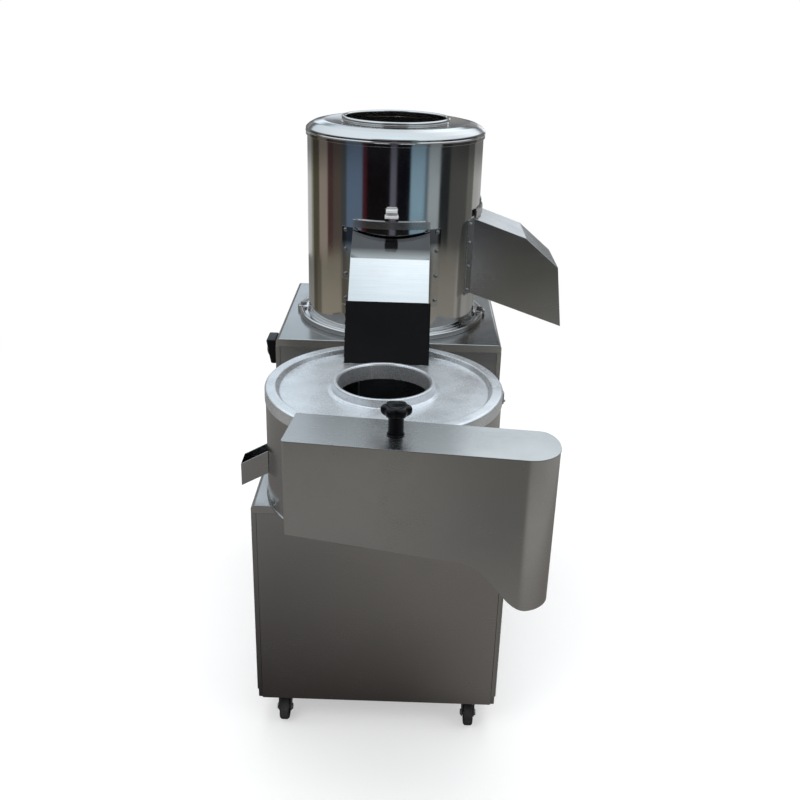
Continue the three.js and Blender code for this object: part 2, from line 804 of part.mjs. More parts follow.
function slicerLid() {
  const base = slicerDrumTop;
  const rimInner = slicerLidRadius - lidRimWidth;
  const seat = slicerDrumRadius + seatGap;
  return turned([
    [feedRadius, base - feedDrop], [feedRadius + feedWall, base - feedDrop],
    [feedRadius + feedFlare, base + seatGap], [seat, base + seatGap], [seat, base - lidEdgeDrop],
    [slicerLidRadius, base - lidEdgeDrop], [slicerLidRadius, base + lidRimRise - sheet],
    [slicerLidRadius - sheet, base + lidRimRise], [rimInner, base + lidRimRise],
    [rimInner - lidRimSlope, base + lidDishRise], [feedRadius + feedFlare + lidRimSlope, base + lidDishRise],
    [feedRadius + feedWall + sheet, base + feedFlareRise], [feedRadius + feedWall, base + feedRise - sheet],
    [feedRadius + feedWall - sheet, base + feedRise], [feedRadius, base + feedRise],
  ]);
}

// Catch on the drum's right side, hooked over the lid's edge
const catchWidth = 12;
const catchThickness = 3;
const catchDrop = 14;
const catchHook = 7;

function lidCatch() {
  const wall = slicerDrumRadius + seatGap;
  const outer = slicerLidRadius + catchThickness;
  const edge = slicerLidRadius + slideGap;
  const lidEdge = slicerDrumTop - lidEdgeDrop;
  const half = catchWidth / 2;
  const body = along([
    [wall - overrun, slicerDrumTop - catchDrop], [outer, slicerDrumTop - catchDrop],
    [outer, slicerDrumTop + catchHook], [edge, slicerDrumTop + catchHook], [edge, lidEdge - slideGap],
    [wall - overrun, lidEdge - slideGap],
  ], -half, half);
  return cut(body, rod(wall, slicerSeat, slicerDrumTop + overrun, wide));
}

// Impeller: a disc with upright paddles
const impellerGap = 10;
const impellerRise = 6;
const impellerThickness = 6;
const impellerHub = 26;
const impellerHubRise = 24;
const impellerCap = 5;
const impellerHubDrop = 4;
const paddleCount = 3;
const paddleThickness = 4;
const paddleInner = 96;
const paddleTopDrop = 17;
const impellerRadius = slicerDrumRadius - slicerSheet - impellerGap;
const impellerBottom = slicerFloorTop + impellerRise;

function slicerImpeller() {
  const top = impellerBottom + impellerThickness;
  const hubTop = top + impellerHubRise;
  const bore = slicerShaftRadius + seatGap;
  const body = turned([
    [0, impellerBottom - impellerHubDrop], [impellerHub, impellerBottom - impellerHubDrop],
    [impellerHub, impellerBottom], [impellerRadius, impellerBottom], [impellerRadius, top],
    [impellerHub * 2, top], [impellerHub, hubTop], [0, hubTop],
  ]);
  const paddles = [];
  for (let i = 0; i < paddleCount; i += 1) {
    const paddle = block(
      [paddleInner, -paddleThickness / 2, top - sheet],
      [impellerRadius, paddleThickness / 2, slicerDrumTop - paddleTopDrop],
    );
    paddles.push(paddle.rotateZ((i / paddleCount) * 2 * Math.PI));
  }
  const hole = rod(bore, impellerBottom - impellerHubDrop - overrun, hubTop - impellerCap);
  return cut(join(body, ...paddles), hole);
}

// Discharge cover, clamp post and star knob. The cover is a strip with a rounded right end, turned a
// little about the vertical; its walls hang from the plate and run deeper at the right.
const coverTurn = -6.1 * Math.PI / 180;
const coverWidth = 106;
const coverLength = 415.5;
const coverLeft = 146;
const coverFrontReach = 45.25;
const coverFrontRound = 50;
const coverBackRound = 33;
const coverPlate = 2;
const coverPostGap = 0.7;
const coverDepth = 261;
const coverShortDepth = 160;
const coverMidDepth = 182.5;
const coverSweepStart = 265;
const coverSweepEnd = 385;
const coverSweepShares = [0.55, 0.4];
const coverDrumGap = 2;
const postRadius = 8.5;
const postHeight = 88;
const postArmHeight = 46;
const postArmHalf = 6;
const postLidGap = 0.5;
const postAngle = -83.3 * Math.PI / 180;
const studRadius = 5;
const studLength = 51;
const studClearance = 0.5;
const postReach = slicerLidRadius + postLidGap + postRadius;
const postTop = slicerLidTop + coverPostGap;
const coverBottom = postTop + seatGap;
const coverTop = coverBottom + coverPlate;
const coverFront = -(slicerLidRadius - lidReach + coverFrontReach);
const postPlace = [Math.cos(postAngle) * postReach, Math.sin(postAngle) * postReach];

function coverPlan(inset) {
  const shape = new THREE.Shape();
  const frontCentre = coverLength - coverFrontRound;
  const backCentre = coverLength - coverBackRound;
  const backReach = coverWidth - coverFrontRound - inset;
  shape.moveTo(inset, inset);
  shape.lineTo(frontCentre, inset);
  shape.absarc(frontCentre, coverFrontRound, coverFrontRound - inset, -Math.PI / 2, 0, false);
  shape.absellipse(backCentre, coverFrontRound, coverBackRound - inset, backReach, 0, Math.PI / 2, false);
  shape.lineTo(inset, coverWidth - inset);
  shape.closePath();
  return shape;
}

// What is cut away under the cover's lower edge
function coverBelow() {
  const end = coverLength + coverWidth;
  const low = coverTop - coverDepth;
  const middleHeight = coverTop - coverMidDepth;
  const sweep = coverSweepEnd - coverSweepStart;
  const [startShare, endShare] = coverSweepShares;
  const shape = new THREE.Shape();
  shape.moveTo(-coverWidth, low - coverDepth);
  shape.lineTo(end, low - coverDepth);
  shape.lineTo(end, low);
  shape.lineTo(coverSweepEnd, low);
  shape.bezierCurveTo(
    coverSweepEnd - sweep * endShare, low, coverSweepStart + sweep * startShare, middleHeight,
    coverSweepStart, middleHeight,
  );
  shape.lineTo(0, coverTop - coverShortDepth);
  shape.lineTo(-coverWidth, coverTop - coverShortDepth);
  shape.closePath();
  const points = shape.getPoints(12).map(({ x, y }) => [x, y]);
  return along(points, -coverWidth, coverWidth * 2);
}

function dischargeCover() {
  const low = coverTop - coverDepth - overrun;
  const plate = upright(coverPlan(0), coverBottom, coverTop);
  const skirt = cut(
    upright(coverPlan(0), low, coverBottom + sheet / 2),
    upright(coverPlan(sheet), low - overrun, coverBottom + sheet),
    coverBelow(),
  );
  const placed = [plate, skirt].map((geometry) => (
    geometry.rotateZ(coverTurn).translate(-coverLeft, coverFront, 0)
  ));
  const drumRoom = rod(slicerLidRadius + coverDrumGap, low - overrun, coverBottom, wide);
  const studHole = rod(studRadius + studClearance, coverBottom - overrun, coverTop + overrun);
  return cut(join(placed[0], cut(placed[1], drumRoom)), studHole.translate(...postPlace, 0));
}

function clampPost() {
  const bottom = postTop - postHeight;
  const pillar = rod(postRadius, bottom, postTop);
  const arm = block([-postReach + slicerDrumRadius - overrun, -postArmHalf, bottom],
    [0, postArmHalf, bottom + postArmHeight]);
  const wall = rod(slicerDrumRadius + seatGap, bottom - overrun, postTop, wide).translate(-postReach, 0, 0);
  const hole = rod(studRadius + runningGap, coverBottom - studLength - seatGap, postTop + overrun);
  const lidRoom = rod(slicerLidRadius + runningGap, bottom + postArmHeight, postTop, wide);
  return cut(join(pillar, cut(arm, wall)), hole, lidRoom.translate(-postReach, 0, 0));
}

const knobStemRadius = 12;
const knobStemHeight = 31;
const knobHeadHeight = 17;
const knobHeadRadius = 22;
const knobLobe = 2;
const knobLobes = 6;
const knobSteps = 48;

function clampKnob() {
  const base = coverTop + seatGap;
  const points = [];
  for (let i = 0; i < knobSteps; i += 1) {
    const angle = (i / knobSteps) * 2 * Math.PI;
    const radius = knobHeadRadius + knobLobe * Math.cos(angle * knobLobes);
    points.push([radius * Math.cos(angle), radius * Math.sin(angle)]);
  }
  const headBottom = base + knobStemHeight;
  const head = upright(outline(points), headBottom, headBottom + knobHeadHeight);
  const stem = rod(knobStemRadius, base, headBottom + sheet);
  return join(head, stem, rod(studRadius, coverBottom - studLength, base + overrun));
}

// Drive: a motor under a shelf, its shaft up, and a V belt to each unit
const motorY = 300;
const motorRadius = 72;
const motorFlange = 85;
const motorFlangeHeight = 11;
const motorHeightShare = 0.7;
const motorEndHeight = 22;
const motorEndInset = 8;
const motorShaftRadius = 9.5;
const motorShaftReach = 40;
const terminalWidth = 70;
const terminalDepth = 34;
const terminalHeight = 80;
const terminalDrop = 60;
const shelfDrop = 129;
const shelfThickness = 3;
const shelfDepth = 170;
const shelfFold = 34;
const beltHalfTop = 6.5;
const beltHalfBottom = 4;
const beltHeight = 8;
const grooveDepth = 9;
const grooveHalfTop = 7.2;
const grooveHalfBottom = 4.4;
const pulleyHalf = 10;
const slicerBeltDrop = 79;
const washBeltDrop = 100;
const washPulleyRadius = 120;
const motorWashRadius = 34;
const slicerPulleyRadius = 60;
const motorSlicerRadius = 30;
const pulleyHub = 24;
const pulleyHubHeight = 14;
const pulleyWeb = 8;
const pulleyRim = 16;
const shaftEnd = 6;
const shelfTop = frontDeckHeight - shelfDrop;
const slicerBeltHeight = frontDeckHeight - slicerBeltDrop;
const washBeltHeight = frontDeckHeight - washBeltDrop;

function motorShelf() {
  const front = motorY - shelfDepth / 2;
  const back = motorY + shelfDepth / 2;
  const plate = block([-innerHalf, front, shelfTop - shelfThickness], [innerHalf, back, shelfTop]);
  const inner = innerHalf - shelfThickness;
  const folds = [[-innerHalf, -inner], [inner, innerHalf]].map(([low, high]) => (
    block([low, front, shelfTop - shelfFold], [high, back, shelfTop])
  ));
  const hole = rod(motorShaftRadius + shaftGap, shelfTop - shelfThickness - overrun, shelfTop + overrun);
  return cut(join(plate, ...folds), hole.translate(0, motorY, 0));
}

function motorHousing() {
  const top = shelfTop - shelfThickness - seatGap;
  const bottom = top - motorHeightShare * (top - casterHeight);
  const bore = (motorShaftRadius + runningGap) / Math.cos(Math.PI / small); // its flats clear the shaft
  const body = turned([
    [0, bottom], [motorRadius - motorEndInset, bottom], [motorRadius, bottom + motorEndHeight],
    [motorRadius, top - motorFlangeHeight], [motorFlange, top - motorFlangeHeight],
    [motorFlange, top], [0, top],
  ], middle);
  const box = block(
    [-terminalWidth / 2, 0, top - terminalDrop - terminalHeight],
    [terminalWidth / 2, motorRadius + terminalDepth, top - terminalDrop],
  );
  return cut(join(body, box), rod(bore, top - motorShaftReach - seatGap, top + overrun));
}

function grooves(radius, height) {
  return [
    [radius, height - grooveHalfTop], [radius - grooveDepth, height - grooveHalfBottom],
    [radius - grooveDepth, height + grooveHalfBottom], [radius, height + grooveHalfTop],
  ];
}

function widePulley(radius, shaftRadius, height) {
  const bore = shaftRadius + seatGap;
  const rim = radius - pulleyRim;
  return turned([
    [bore, height - pulleyHubHeight], [pulleyHub, height - pulleyHubHeight],
    [pulleyHub, height - pulleyWeb / 2], [rim, height - pulleyWeb / 2], [rim, height - pulleyHalf],
    [radius, height - pulleyHalf],
    ...grooves(radius, height), [radius, height + pulleyHalf], [rim, height + pulleyHalf],
    [rim, height + pulleyWeb / 2], [pulleyHub, height + pulleyWeb / 2], [pulleyHub, height + pulleyHalf],
    [bore, height + pulleyHalf],
  ], middle);
}

function motorPulley() {
  const middleHeight = (slicerBeltHeight + washBeltHeight) / 2;
  const bore = motorShaftRadius + seatGap;
  const low = washBeltHeight - pulleyHalf;
  const high = slicerBeltHeight + pulleyHalf;
  return turned([
    [bore, low], [motorWashRadius, low],
    ...grooves(motorWashRadius, washBeltHeight), [motorWashRadius, middleHeight],
    [motorSlicerRadius, middleHeight], ...grooves(motorSlicerRadius, slicerBeltHeight),
    [motorSlicerRadius, high], [bore, high],
  ], middle);
}

// A V belt round two pulleys: its section carried round two arcs, with straight runs between them
function beltLoop(firstY, firstRadius, secondY, secondRadius, height, arcSteps) {
  const lean = Math.asin((firstRadius - secondRadius) / (secondY - firstY));
  const section = [
    [0, beltHalfTop], [0, -beltHalfTop], [-beltHeight, -beltHalfBottom], [-beltHeight, beltHalfBottom],
  ];
  const positions = [];
  const arcs = [
    [firstY, firstRadius, Math.PI - lean, 2 * Math.PI + lean],
    [secondY, secondRadius, lean, Math.PI - lean],
  ];
  for (const [y, radius, from, to] of arcs) {
    for (let step = 0; step <= arcSteps; step += 1) {
      const angle = from + ((to - from) * step) / arcSteps;
      for (const [inset, rise] of section) {
        const reach = radius + inset;
        positions.push(reach * Math.cos(angle), y + reach * Math.sin(angle), height + rise);
      }
    }
  }
  const rings = 2 * (arcSteps + 1);
  const index = [];
  for (let ring = 0; ring < rings; ring += 1) {
    for (let side = 0; side < 4; side += 1) {
      const next = (side + 1) % 4;
      const a = ring * 4 + side;
      const b = ring * 4 + next;
      const c = ((ring + 1) % rings) * 4 + next;
      const d = ((ring + 1) % rings) * 4 + side;
      index.push(a, b, d, b, c, d);
    }
  }
  const geometry = new THREE.BufferGeometry();
  geometry.setAttribute('position', new THREE.Float32BufferAttribute(positions, 3));
  geometry.setIndex(index);
  return geometry;
}

const housingFlange = 55;
const housingFlangeHeight = 8;
const housingRadius = 31;
const washHousingLength = 120;
const slicerHousingLength = 56;

function bearingHousing(shaftRadius, deckTop, length) {
  const top = deckTop - heavySheet - seatGap;
  const bore = shaftRadius + runningGap;
  return turned([
    [bore, top - length], [housingRadius, top - length], [housingRadius, top - housingFlangeHeight],
    [housingFlange, top - housingFlangeHeight], [housingFlange, top], [bore, top],
  ], middle);
}

// Casters, drawn round the swivel axis
const casterTrail = 18;
const wheelRadius = 25;
const wheelWidth = 17.7;
const wheelShoulder = 2;
const axleRadius = 3.5;
const axleHead = 6;
const axleHeadWidth = 2.5;
const forkInner = 10.5;
const forkSheet = 2;
const forkEar = 8;
const forkTop = 13;
const forkPlateHeight = 4;
const forkPlateRadius = 19;
const forkClearance = 5;
const headRadius = 10;
const headHeight = 4;

function casterFork() {
  const plateTop = casterHeight - seatGap;
  const plateBottom = plateTop - forkPlateHeight;
  const legs = [-1, 1].map((side) => {
    const low = Math.min(side * forkInner, side * (forkInner + forkSheet));
    return across([
      [-casterTrail - forkEar, wheelRadius], [-casterTrail - forkEar / 2, wheelRadius - forkEar],
      [-casterTrail + forkEar / 2, wheelRadius - forkEar], [-casterTrail + forkEar, wheelRadius],
      [forkTop, plateBottom - forkClearance], [forkTop, plateBottom + sheet], [-forkTop, plateBottom + sheet],
    ], low, low + forkSheet);
  });
  const plate = rod(forkPlateRadius, plateBottom, plateTop, small);
  const headBottom = casterHeight + heavySheet + seatGap;
  const stem = rod(casterStemRadius, plateTop - sheet, headBottom + sheet, few);
  const head = rod(headRadius, headBottom, headBottom + headHeight, few);
  const reach = forkInner + forkSheet + axleHeadWidth;
  const axle = rod(axleRadius, -reach, reach, few);
  const heads = [-reach, reach - axleHeadWidth].map((low) => rod(axleHead, low, low + axleHeadWidth, few));
  const axles = [axle, ...heads].map((piece) => (
    piece.rotateY(Math.PI / 2).translate(0, -casterTrail, wheelRadius)
  ));
  return join(...legs, plate, stem, head, ...axles);
}

function casterWheel() {
  const half = wheelWidth / 2;
  const bore = axleRadius + runningGap;
  return turned([
    [bore, -half], [wheelRadius - wheelShoulder, -half], [wheelRadius, -half + wheelShoulder],
    [wheelRadius, half - wheelShoulder], [wheelRadius - wheelShoulder, half], [bore, half],
  ], middle).rotateZ(Math.PI / middle).rotateY(Math.PI / 2);
}

// Assembly
const slicerHole = rod(slicerShaftRadius + shaftGap, frontDeckHeight - deckFold, frontDeckHeight + overrun);
const washHole = rod(washShaftRadius + shaftGap, rearDeckHeight - deckFold, rearDeckHeight + overrun);
const lugHoles = lugAngles.map((angle) => lugBoltHole().rotateZ(angle).translate(0, washAxisY, 0));

const cabinet = group(
  [0, 0, 0],
  mesh('base_pan', steel, basePan()),
  mesh('left_side_panel', steel, sidePanel(-1)),
  mesh('right_side_panel', steel, sidePanel(1)),
  mesh('front_panel', steel, frontPanel()),
  mesh('front_deck', steel, foldedDeck(0, stepDepth - seatGap, frontDeckHeight, [
    slicerHole.translate(0, slicerAxisY, 0),
  ])),
  mesh('step_panel', steel, stepPanel()),
  mesh('rear_deck', steel, foldedDeck(stepDepth, cabinetDepth, rearDeckHeight, [
    washHole.translate(0, washAxisY, 0), ...lugHoles,
  ])),
  mesh('rear_panel', steel, rearPanel()),
  mesh('cable_gland', blackPlastic, cableGland(), [glandPlace[0], cabinetDepth, glandPlace[1]]),
  mesh('switch_housing', blackPlastic, switchHousing()),
  mesh('start_button', green, pushButton(1)),
  mesh('stop_button', red, pushButton(-1)),
);

const washUnit = group(
  [0, washAxisY, 0],
  mesh('wash_base', steel, washBase()),
  mesh('wash_drum', polished, washDrum()),
  mesh('abrasive_liner', grit, abrasiveLiner()),
  mesh('wash_lid', polished, washLid()),
  mesh('abrasive_disc', grit, abrasiveDisc()),
  mesh('front_hood', steel, outletShell(hoodLine, hoodFloor), [0, 0, 0], [0, 0, -Math.PI / 2]),
  mesh('front_gate_guide', steel, gateGuide(hoodTop), [0, 0, 0], [0, 0, -Math.PI / 2]),
  mesh('front_gate', polished, gate(
    frontGateBottom, hoodTop, handleHeight, [handleRise, handleHeight - handleLipHeight],
  ), [0, 0, 0], [0, 0, -Math.PI / 2]),
  mesh('rubber_curtain', blackRubber, rubberCurtain(), [0, 0, 0], [0, 0, -Math.PI / 2]),
  mesh('side_chute', steel, outletShell(chuteLine, chuteFloor)),
  mesh('side_gate_guide', steel, gateGuide(chuteTop)),
  mesh('side_gate', polished, gate(sideGateBottom, chuteTop, tabHeight, [])),
  mesh('water_inlet', zinc, pipe(inletBore, inletRadius, inletFlange, inletLength, barbCount),
    [0, 0, inletHeight]),
  mesh('drain_pipe', steel, pipe(drainBore, drainRadius, drainFlange, drainLength, 0),
    [0, 0, drainHeight]),
  ...lugAngles.map((angle, i) => {
    const place = [washLugCentre * Math.cos(angle), washLugCentre * Math.sin(angle), 0];
    return mesh(`lug_bolt_${['front', 'right', 'back', 'left'][i]}`, zinc, lugBolt(), place);
  }),
);

const slicerUnit = group(
  [0, slicerAxisY, 0],
  mesh('slicer_drum', steel, slicerDrum()),
  mesh('slicer_lid', castMetal, slicerLid()),
  mesh('lid_catch', zinc, lidCatch()),
  mesh('slicer_impeller', castMetal, slicerImpeller()),
  mesh('knife_holder', steel, knifeHolder()),
  mesh('knife_blade', polished, knifeBlade()),
  mesh('waste_spout', steel, wasteSpout()),
  mesh('clamp_post', steel, clampPost(), [...postPlace, 0], [0, 0, postAngle]),
  mesh('discharge_cover', steel, dischargeCover()),
  mesh('clamp_knob', blackPlastic, clampKnob(), [...postPlace, 0]),
);

const washShaftTop = discBottom + discThickness - overrun - 2 * seatGap;
const slicerShaftTop = impellerBottom + impellerThickness + impellerHubRise - impellerCap - seatGap;
const washShaftFoot = washBeltHeight - pulleyHubHeight - shaftEnd;
const slicerShaftFoot = slicerBeltHeight - pulleyHubHeight - shaftEnd;
const motorShaftFoot = shelfTop - shelfThickness - seatGap - motorShaftReach;
const motorShaftTop = slicerBeltHeight + pulleyHalf + shaftEnd;
const washHousing = bearingHousing(washShaftRadius, rearDeckHeight, washHousingLength);
const slicerHousing = bearingHousing(slicerShaftRadius, frontDeckHeight, slicerHousingLength);
const motorPlace = [0, motorY, 0];
const washPlace = [0, washAxisY, 0];
const slicerPlace = [0, slicerAxisY, 0];
const drive = group(
  [0, 0, 0],
  mesh('motor_shelf', zinc, motorShelf()),
  mesh('motor_housing', darkPaint, motorHousing(), motorPlace),
  mesh('motor_shaft', zinc, rod(motorShaftRadius, motorShaftFoot, motorShaftTop), motorPlace),
  mesh('motor_pulley', castMetal, motorPulley(), motorPlace),
  mesh('wash_bearing_housing', darkPaint, washHousing, washPlace),
  mesh('slicer_bearing_housing', darkPaint, slicerHousing, slicerPlace),
  mesh('wash_shaft', zinc, rod(washShaftRadius, washShaftFoot, washShaftTop), washPlace),
  mesh('slicer_shaft', zinc, rod(slicerShaftRadius, slicerShaftFoot, slicerShaftTop), slicerPlace),
  mesh('wash_pulley', castMetal, widePulley(washPulleyRadius, washShaftRadius, washBeltHeight), washPlace),
  mesh('slicer_pulley', castMetal,
    widePulley(slicerPulleyRadius, slicerShaftRadius, slicerBeltHeight), slicerPlace),
  mesh('wash_belt', blackRubber,
    beltLoop(motorY, motorWashRadius, washAxisY, washPulleyRadius, washBeltHeight, middle)),
  mesh('slicer_belt', blackRubber,
    beltLoop(slicerAxisY, slicerPulleyRadius, motorY, motorSlicerRadius, slicerBeltHeight, small)),
);

const casters = casterSpots.map((spot) => group(
  casterPlace(spot),
  mesh(`caster_fork_${spot[0]}`, zinc, casterFork()),
  mesh(`caster_wheel_${spot[0]}`, blackRubber, casterWheel(), [0, -casterTrail, wheelRadius]),
));

const machine = new THREE.Group();
machine.add(cabinet, washUnit, slicerUnit, drive, ...casters);

// The origin is on the floor, under the middle of the machine's box
machine.updateMatrixWorld(true);
const bounds = new THREE.Box3().setFromObject(machine, true);
const centre = bounds.getCenter(new THREE.Vector3());
machine.position.set(-centre.x, -centre.y, -bounds.min.z);

export default machine;
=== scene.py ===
import math
import bmesh
import bpy
from mathutils import Matrix, Vector


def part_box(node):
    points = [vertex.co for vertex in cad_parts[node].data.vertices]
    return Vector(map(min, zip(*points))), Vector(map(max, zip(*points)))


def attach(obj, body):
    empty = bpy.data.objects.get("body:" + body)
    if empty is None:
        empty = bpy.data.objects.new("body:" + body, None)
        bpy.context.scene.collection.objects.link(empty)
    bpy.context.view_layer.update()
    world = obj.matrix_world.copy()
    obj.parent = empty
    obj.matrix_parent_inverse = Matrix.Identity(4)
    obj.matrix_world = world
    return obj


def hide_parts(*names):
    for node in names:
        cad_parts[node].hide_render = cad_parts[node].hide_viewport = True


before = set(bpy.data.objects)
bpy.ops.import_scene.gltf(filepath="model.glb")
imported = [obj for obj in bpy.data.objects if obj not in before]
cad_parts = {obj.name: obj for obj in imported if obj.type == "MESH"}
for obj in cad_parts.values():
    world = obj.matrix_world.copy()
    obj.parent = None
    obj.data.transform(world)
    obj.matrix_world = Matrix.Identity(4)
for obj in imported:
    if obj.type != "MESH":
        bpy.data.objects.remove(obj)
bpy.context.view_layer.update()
print("frame loaded:", len(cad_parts), "nodes")

# Sizes are millimetres, measured from the middle of the cabinet's front edge, on the floor
mm = 0.001
machine = {"halfWidth": 225, "depth": 745, "step": 345, "frontDeck": 484, "rearDeck": 668,
           "washAxis": (0, 545), "slicerAxis": (0, 78)}
panLow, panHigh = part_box("base_pan")
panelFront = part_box("left_side_panel")[0].y
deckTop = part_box("rear_deck")[1].z
zero = Vector(((panLow.x + panHigh.x) / 2, panelFront, deckTop - machine["rearDeck"] * mm))
toFrame = Matrix.Translation(zero) @ Matrix.Scale(mm, 4)
scene = bpy.context.scene


def upright(centre, height=0):
    return Matrix.Translation((*centre, height))


def rotated(degrees, axis="Z"):
    return Matrix.Rotation(math.radians(degrees), 4, axis)


def polar(radius, degrees, z=0):
    angle = math.radians(degrees)
    return radius * math.cos(angle), radius * math.sin(angle), z


def addObject(name, data):
    made = bpy.data.objects.new(name, data)
    scene.collection.objects.link(made)
    return made


# Camera at the photograph's angle
cameraView = {"place": (40.4, -1450.8, 1307.5), "yaw": -0.46, "pitch": 23.02, "roll": 1.64, "lens": 43.165,
              "sensor": 36, "near": 0.05, "far": 60}


def addCamera(values):
    yaw, pitch, roll = (math.radians(values[key]) for key in ("yaw", "pitch", "roll"))
    ahead = Vector((math.sin(yaw) * math.cos(pitch), math.cos(yaw) * math.cos(pitch), -math.sin(pitch)))
    right = Vector((math.cos(yaw), -math.sin(yaw), 0))
    up = right.cross(ahead)
    tiltedRight = right * math.cos(roll) + up * math.sin(roll)
    tiltedUp = up * math.cos(roll) - right * math.sin(roll)
    place = Matrix((tiltedRight, tiltedUp, -ahead)).transposed().to_4x4()
    place.translation = toFrame @ Vector(values["place"])
    data = bpy.data.cameras.new("photoCamera")
    data.lens, data.sensor_width = values["lens"], values["sensor"]
    data.clip_start, data.clip_end = values["near"], values["far"]
    camera = addObject("photoCamera", data)
    camera.matrix_world = place
    scene.camera = camera


# Node helpers
def node(tree, kind, inputs=None, **settings):
    made = tree.nodes.new(kind)
    for key, value in settings.items():
        setattr(made, key, value)
    for key, value in (inputs or {}).items():
        if isinstance(value, bpy.types.NodeSocket):
            tree.links.new(value, made.inputs[key])
        else:
            made.inputs[key].default_value = value
    return made


def first(tree, kind, inputs=None, **settings):
    return node(tree, kind, inputs, **settings).outputs[0]


def newMaterial(name):
    material = bpy.data.materials.new(name)
    material.use_nodes = True
    material.node_tree.nodes.clear()
    return material, material.node_tree


def newFinish(name):
    finishes[name], tree = newMaterial(name)
    return tree


def objectPlace(tree):
    return node(tree, "ShaderNodeTexCoord").outputs["Object"]


def scaledPlace(tree, scale=(1, 1, 1)):
    return first(tree, "ShaderNodeMapping", {"Vector": objectPlace(tree), "Scale": scale})


def axesOf(tree, place):
    return node(tree, "ShaderNodeSeparateXYZ", {0: place}).outputs


def noise(tree, place, scale, detail=3, roughness=0.55):
    return first(tree, "ShaderNodeTexNoise", {
        "Vector": place, "Scale": scale, "Detail": detail, "Roughness": roughness})


def ranged(tree, value, low, high, fromLow=0.3, fromHigh=0.7):
    return first(tree, "ShaderNodeMapRange", {
        "Value": value, "From Min": fromLow, "From Max": fromHigh, "To Min": low, "To Max": high})


def mixed(tree, factor, start, end):
    return node(tree, "ShaderNodeMix", {0: factor, 6: start, 7: end}, data_type="RGBA").outputs[2]


def math2(tree, operation, one, other, clamp=False):
    return first(tree, "ShaderNodeMath", {0: one, 1: other}, operation=operation, use_clamp=clamp)


def lengthOf(tree, place):
    return node(tree, "ShaderNodeVectorMath", {0: place}, operation="LENGTH").outputs["Value"]


def bump(tree, height, distance, below=None):
    inputs = {"Height": height, "Distance": distance, "Strength": 1}
    if below:
        inputs["Normal"] = below
    return first(tree, "ShaderNodeBump", inputs)


def output(tree, shader, kind="ShaderNodeOutputMaterial"):
    node(tree, kind, {"Surface": shader})


def principled(tree, inputs):
    output(tree, first(tree, "ShaderNodeBsdfPrincipled", inputs))


def rgb(colour):
    return (*colour, 1)


def wornTone(tree, tone, wearTone, wear, end):
    edge = ranged(tree, node(tree, "ShaderNodeNewGeometry").outputs["Pointiness"], 0, wear, 0.51, end)
    return mixed(tree, edge, tone, rgb(wearTone))


# Metal: a brushed or cast ground, cloudy tone, smudges in the gloss, brighter worn edges, and where given a
# painted shade that darkens the tone upwards over a span of heights
def metal(name, dark, light, streakTone, grain, roughness, grainDepth, waveDepth, streak=0.15,
          wearTone=(0.7, 0.7, 0.69), wear=0.5, cloud=5, smudge=14, smear=0.07, wave=3.2, metallic=1,
          paintedShadeSpan=None, paintedShadeTone=None):
    tree = newFinish(name)
    plain = scaledPlace(tree)
    ground = noise(tree, scaledPlace(tree, grain), 1, 5, 0.7)
    tone = mixed(tree, ranged(tree, noise(tree, plain, cloud, 4), 0, 1), rgb(dark), rgb(light))
    tone = mixed(tree, ranged(tree, ground, 0, streak, 0.35, 0.65), tone, rgb(streakTone))
    tone = wornTone(tree, tone, wearTone, wear, 0.6)
    # painted shade: the tone turns to the dark tone from the low to the high end of the span of heights
    if paintedShadeSpan:
        tone = mixed(tree, ranged(tree, axesOf(tree, plain)[2], 0, 1, *paintedShadeSpan), tone, rgb(paintedShadeTone))
    gloss = math2(tree, "ADD", ranged(tree, ground, *roughness),
                  ranged(tree, noise(tree, plain, smudge, 6, 0.68), 0, smear, 0.45, 0.75))
    normal = bump(tree, noise(tree, plain, wave, 2, 0.4), waveDepth, bump(tree, ground, grainDepth))
    principled(tree, {"Base Color": tone, "Metallic": metallic, "Roughness": gloss, "Normal": normal})


# Rubber and plastic: a fine moulded skin, cloudy tone, scuffed edges
def moulded(name, dark, light, wearTone, skin, skinDepth, cloud, wear, roughness, specular=0.5):
    tree = newFinish(name)
    plain = scaledPlace(tree)
    clouds = noise(tree, plain, cloud, 4, 0.6)
    tone = mixed(tree, ranged(tree, clouds, 0, 1), rgb(dark), rgb(light))
    principled(tree, {
        "Base Color": wornTone(tree, tone, wearTone, wear, 0.62), "Roughness": ranged(tree, clouds, *roughness),
        "Normal": bump(tree, noise(tree, plain, skin, 3, 0.6), skinDepth), "Specular IOR Level": specular})


# Grit: crushed grains of several tones, glued on
def gritty(name, dark, light, stainTone, grains, depth, stain):
    tree = newFinish(name)
    plain = scaledPlace(tree)
    cells = node(tree, "ShaderNodeTexVoronoi", {"Vector": plain, "Scale": grains}).outputs
    fine = noise(tree, plain, grains * 2.5, 4, 0.7)
    tone = mixed(tree, ranged(tree, cells["Color"], 0, 1, 0, 1), rgb(dark), rgb(light))
    tone = mixed(tree, ranged(tree, noise(tree, plain, stain, 3), 0, 0.6), tone, rgb(stainTone))
    normal = bump(tree, math2(tree, "ADD", cells["Distance"], fine), depth)
    principled(tree, {"Base Color": tone, "Roughness": ranged(tree, fine, 0.6, 0.9), "Normal": normal})


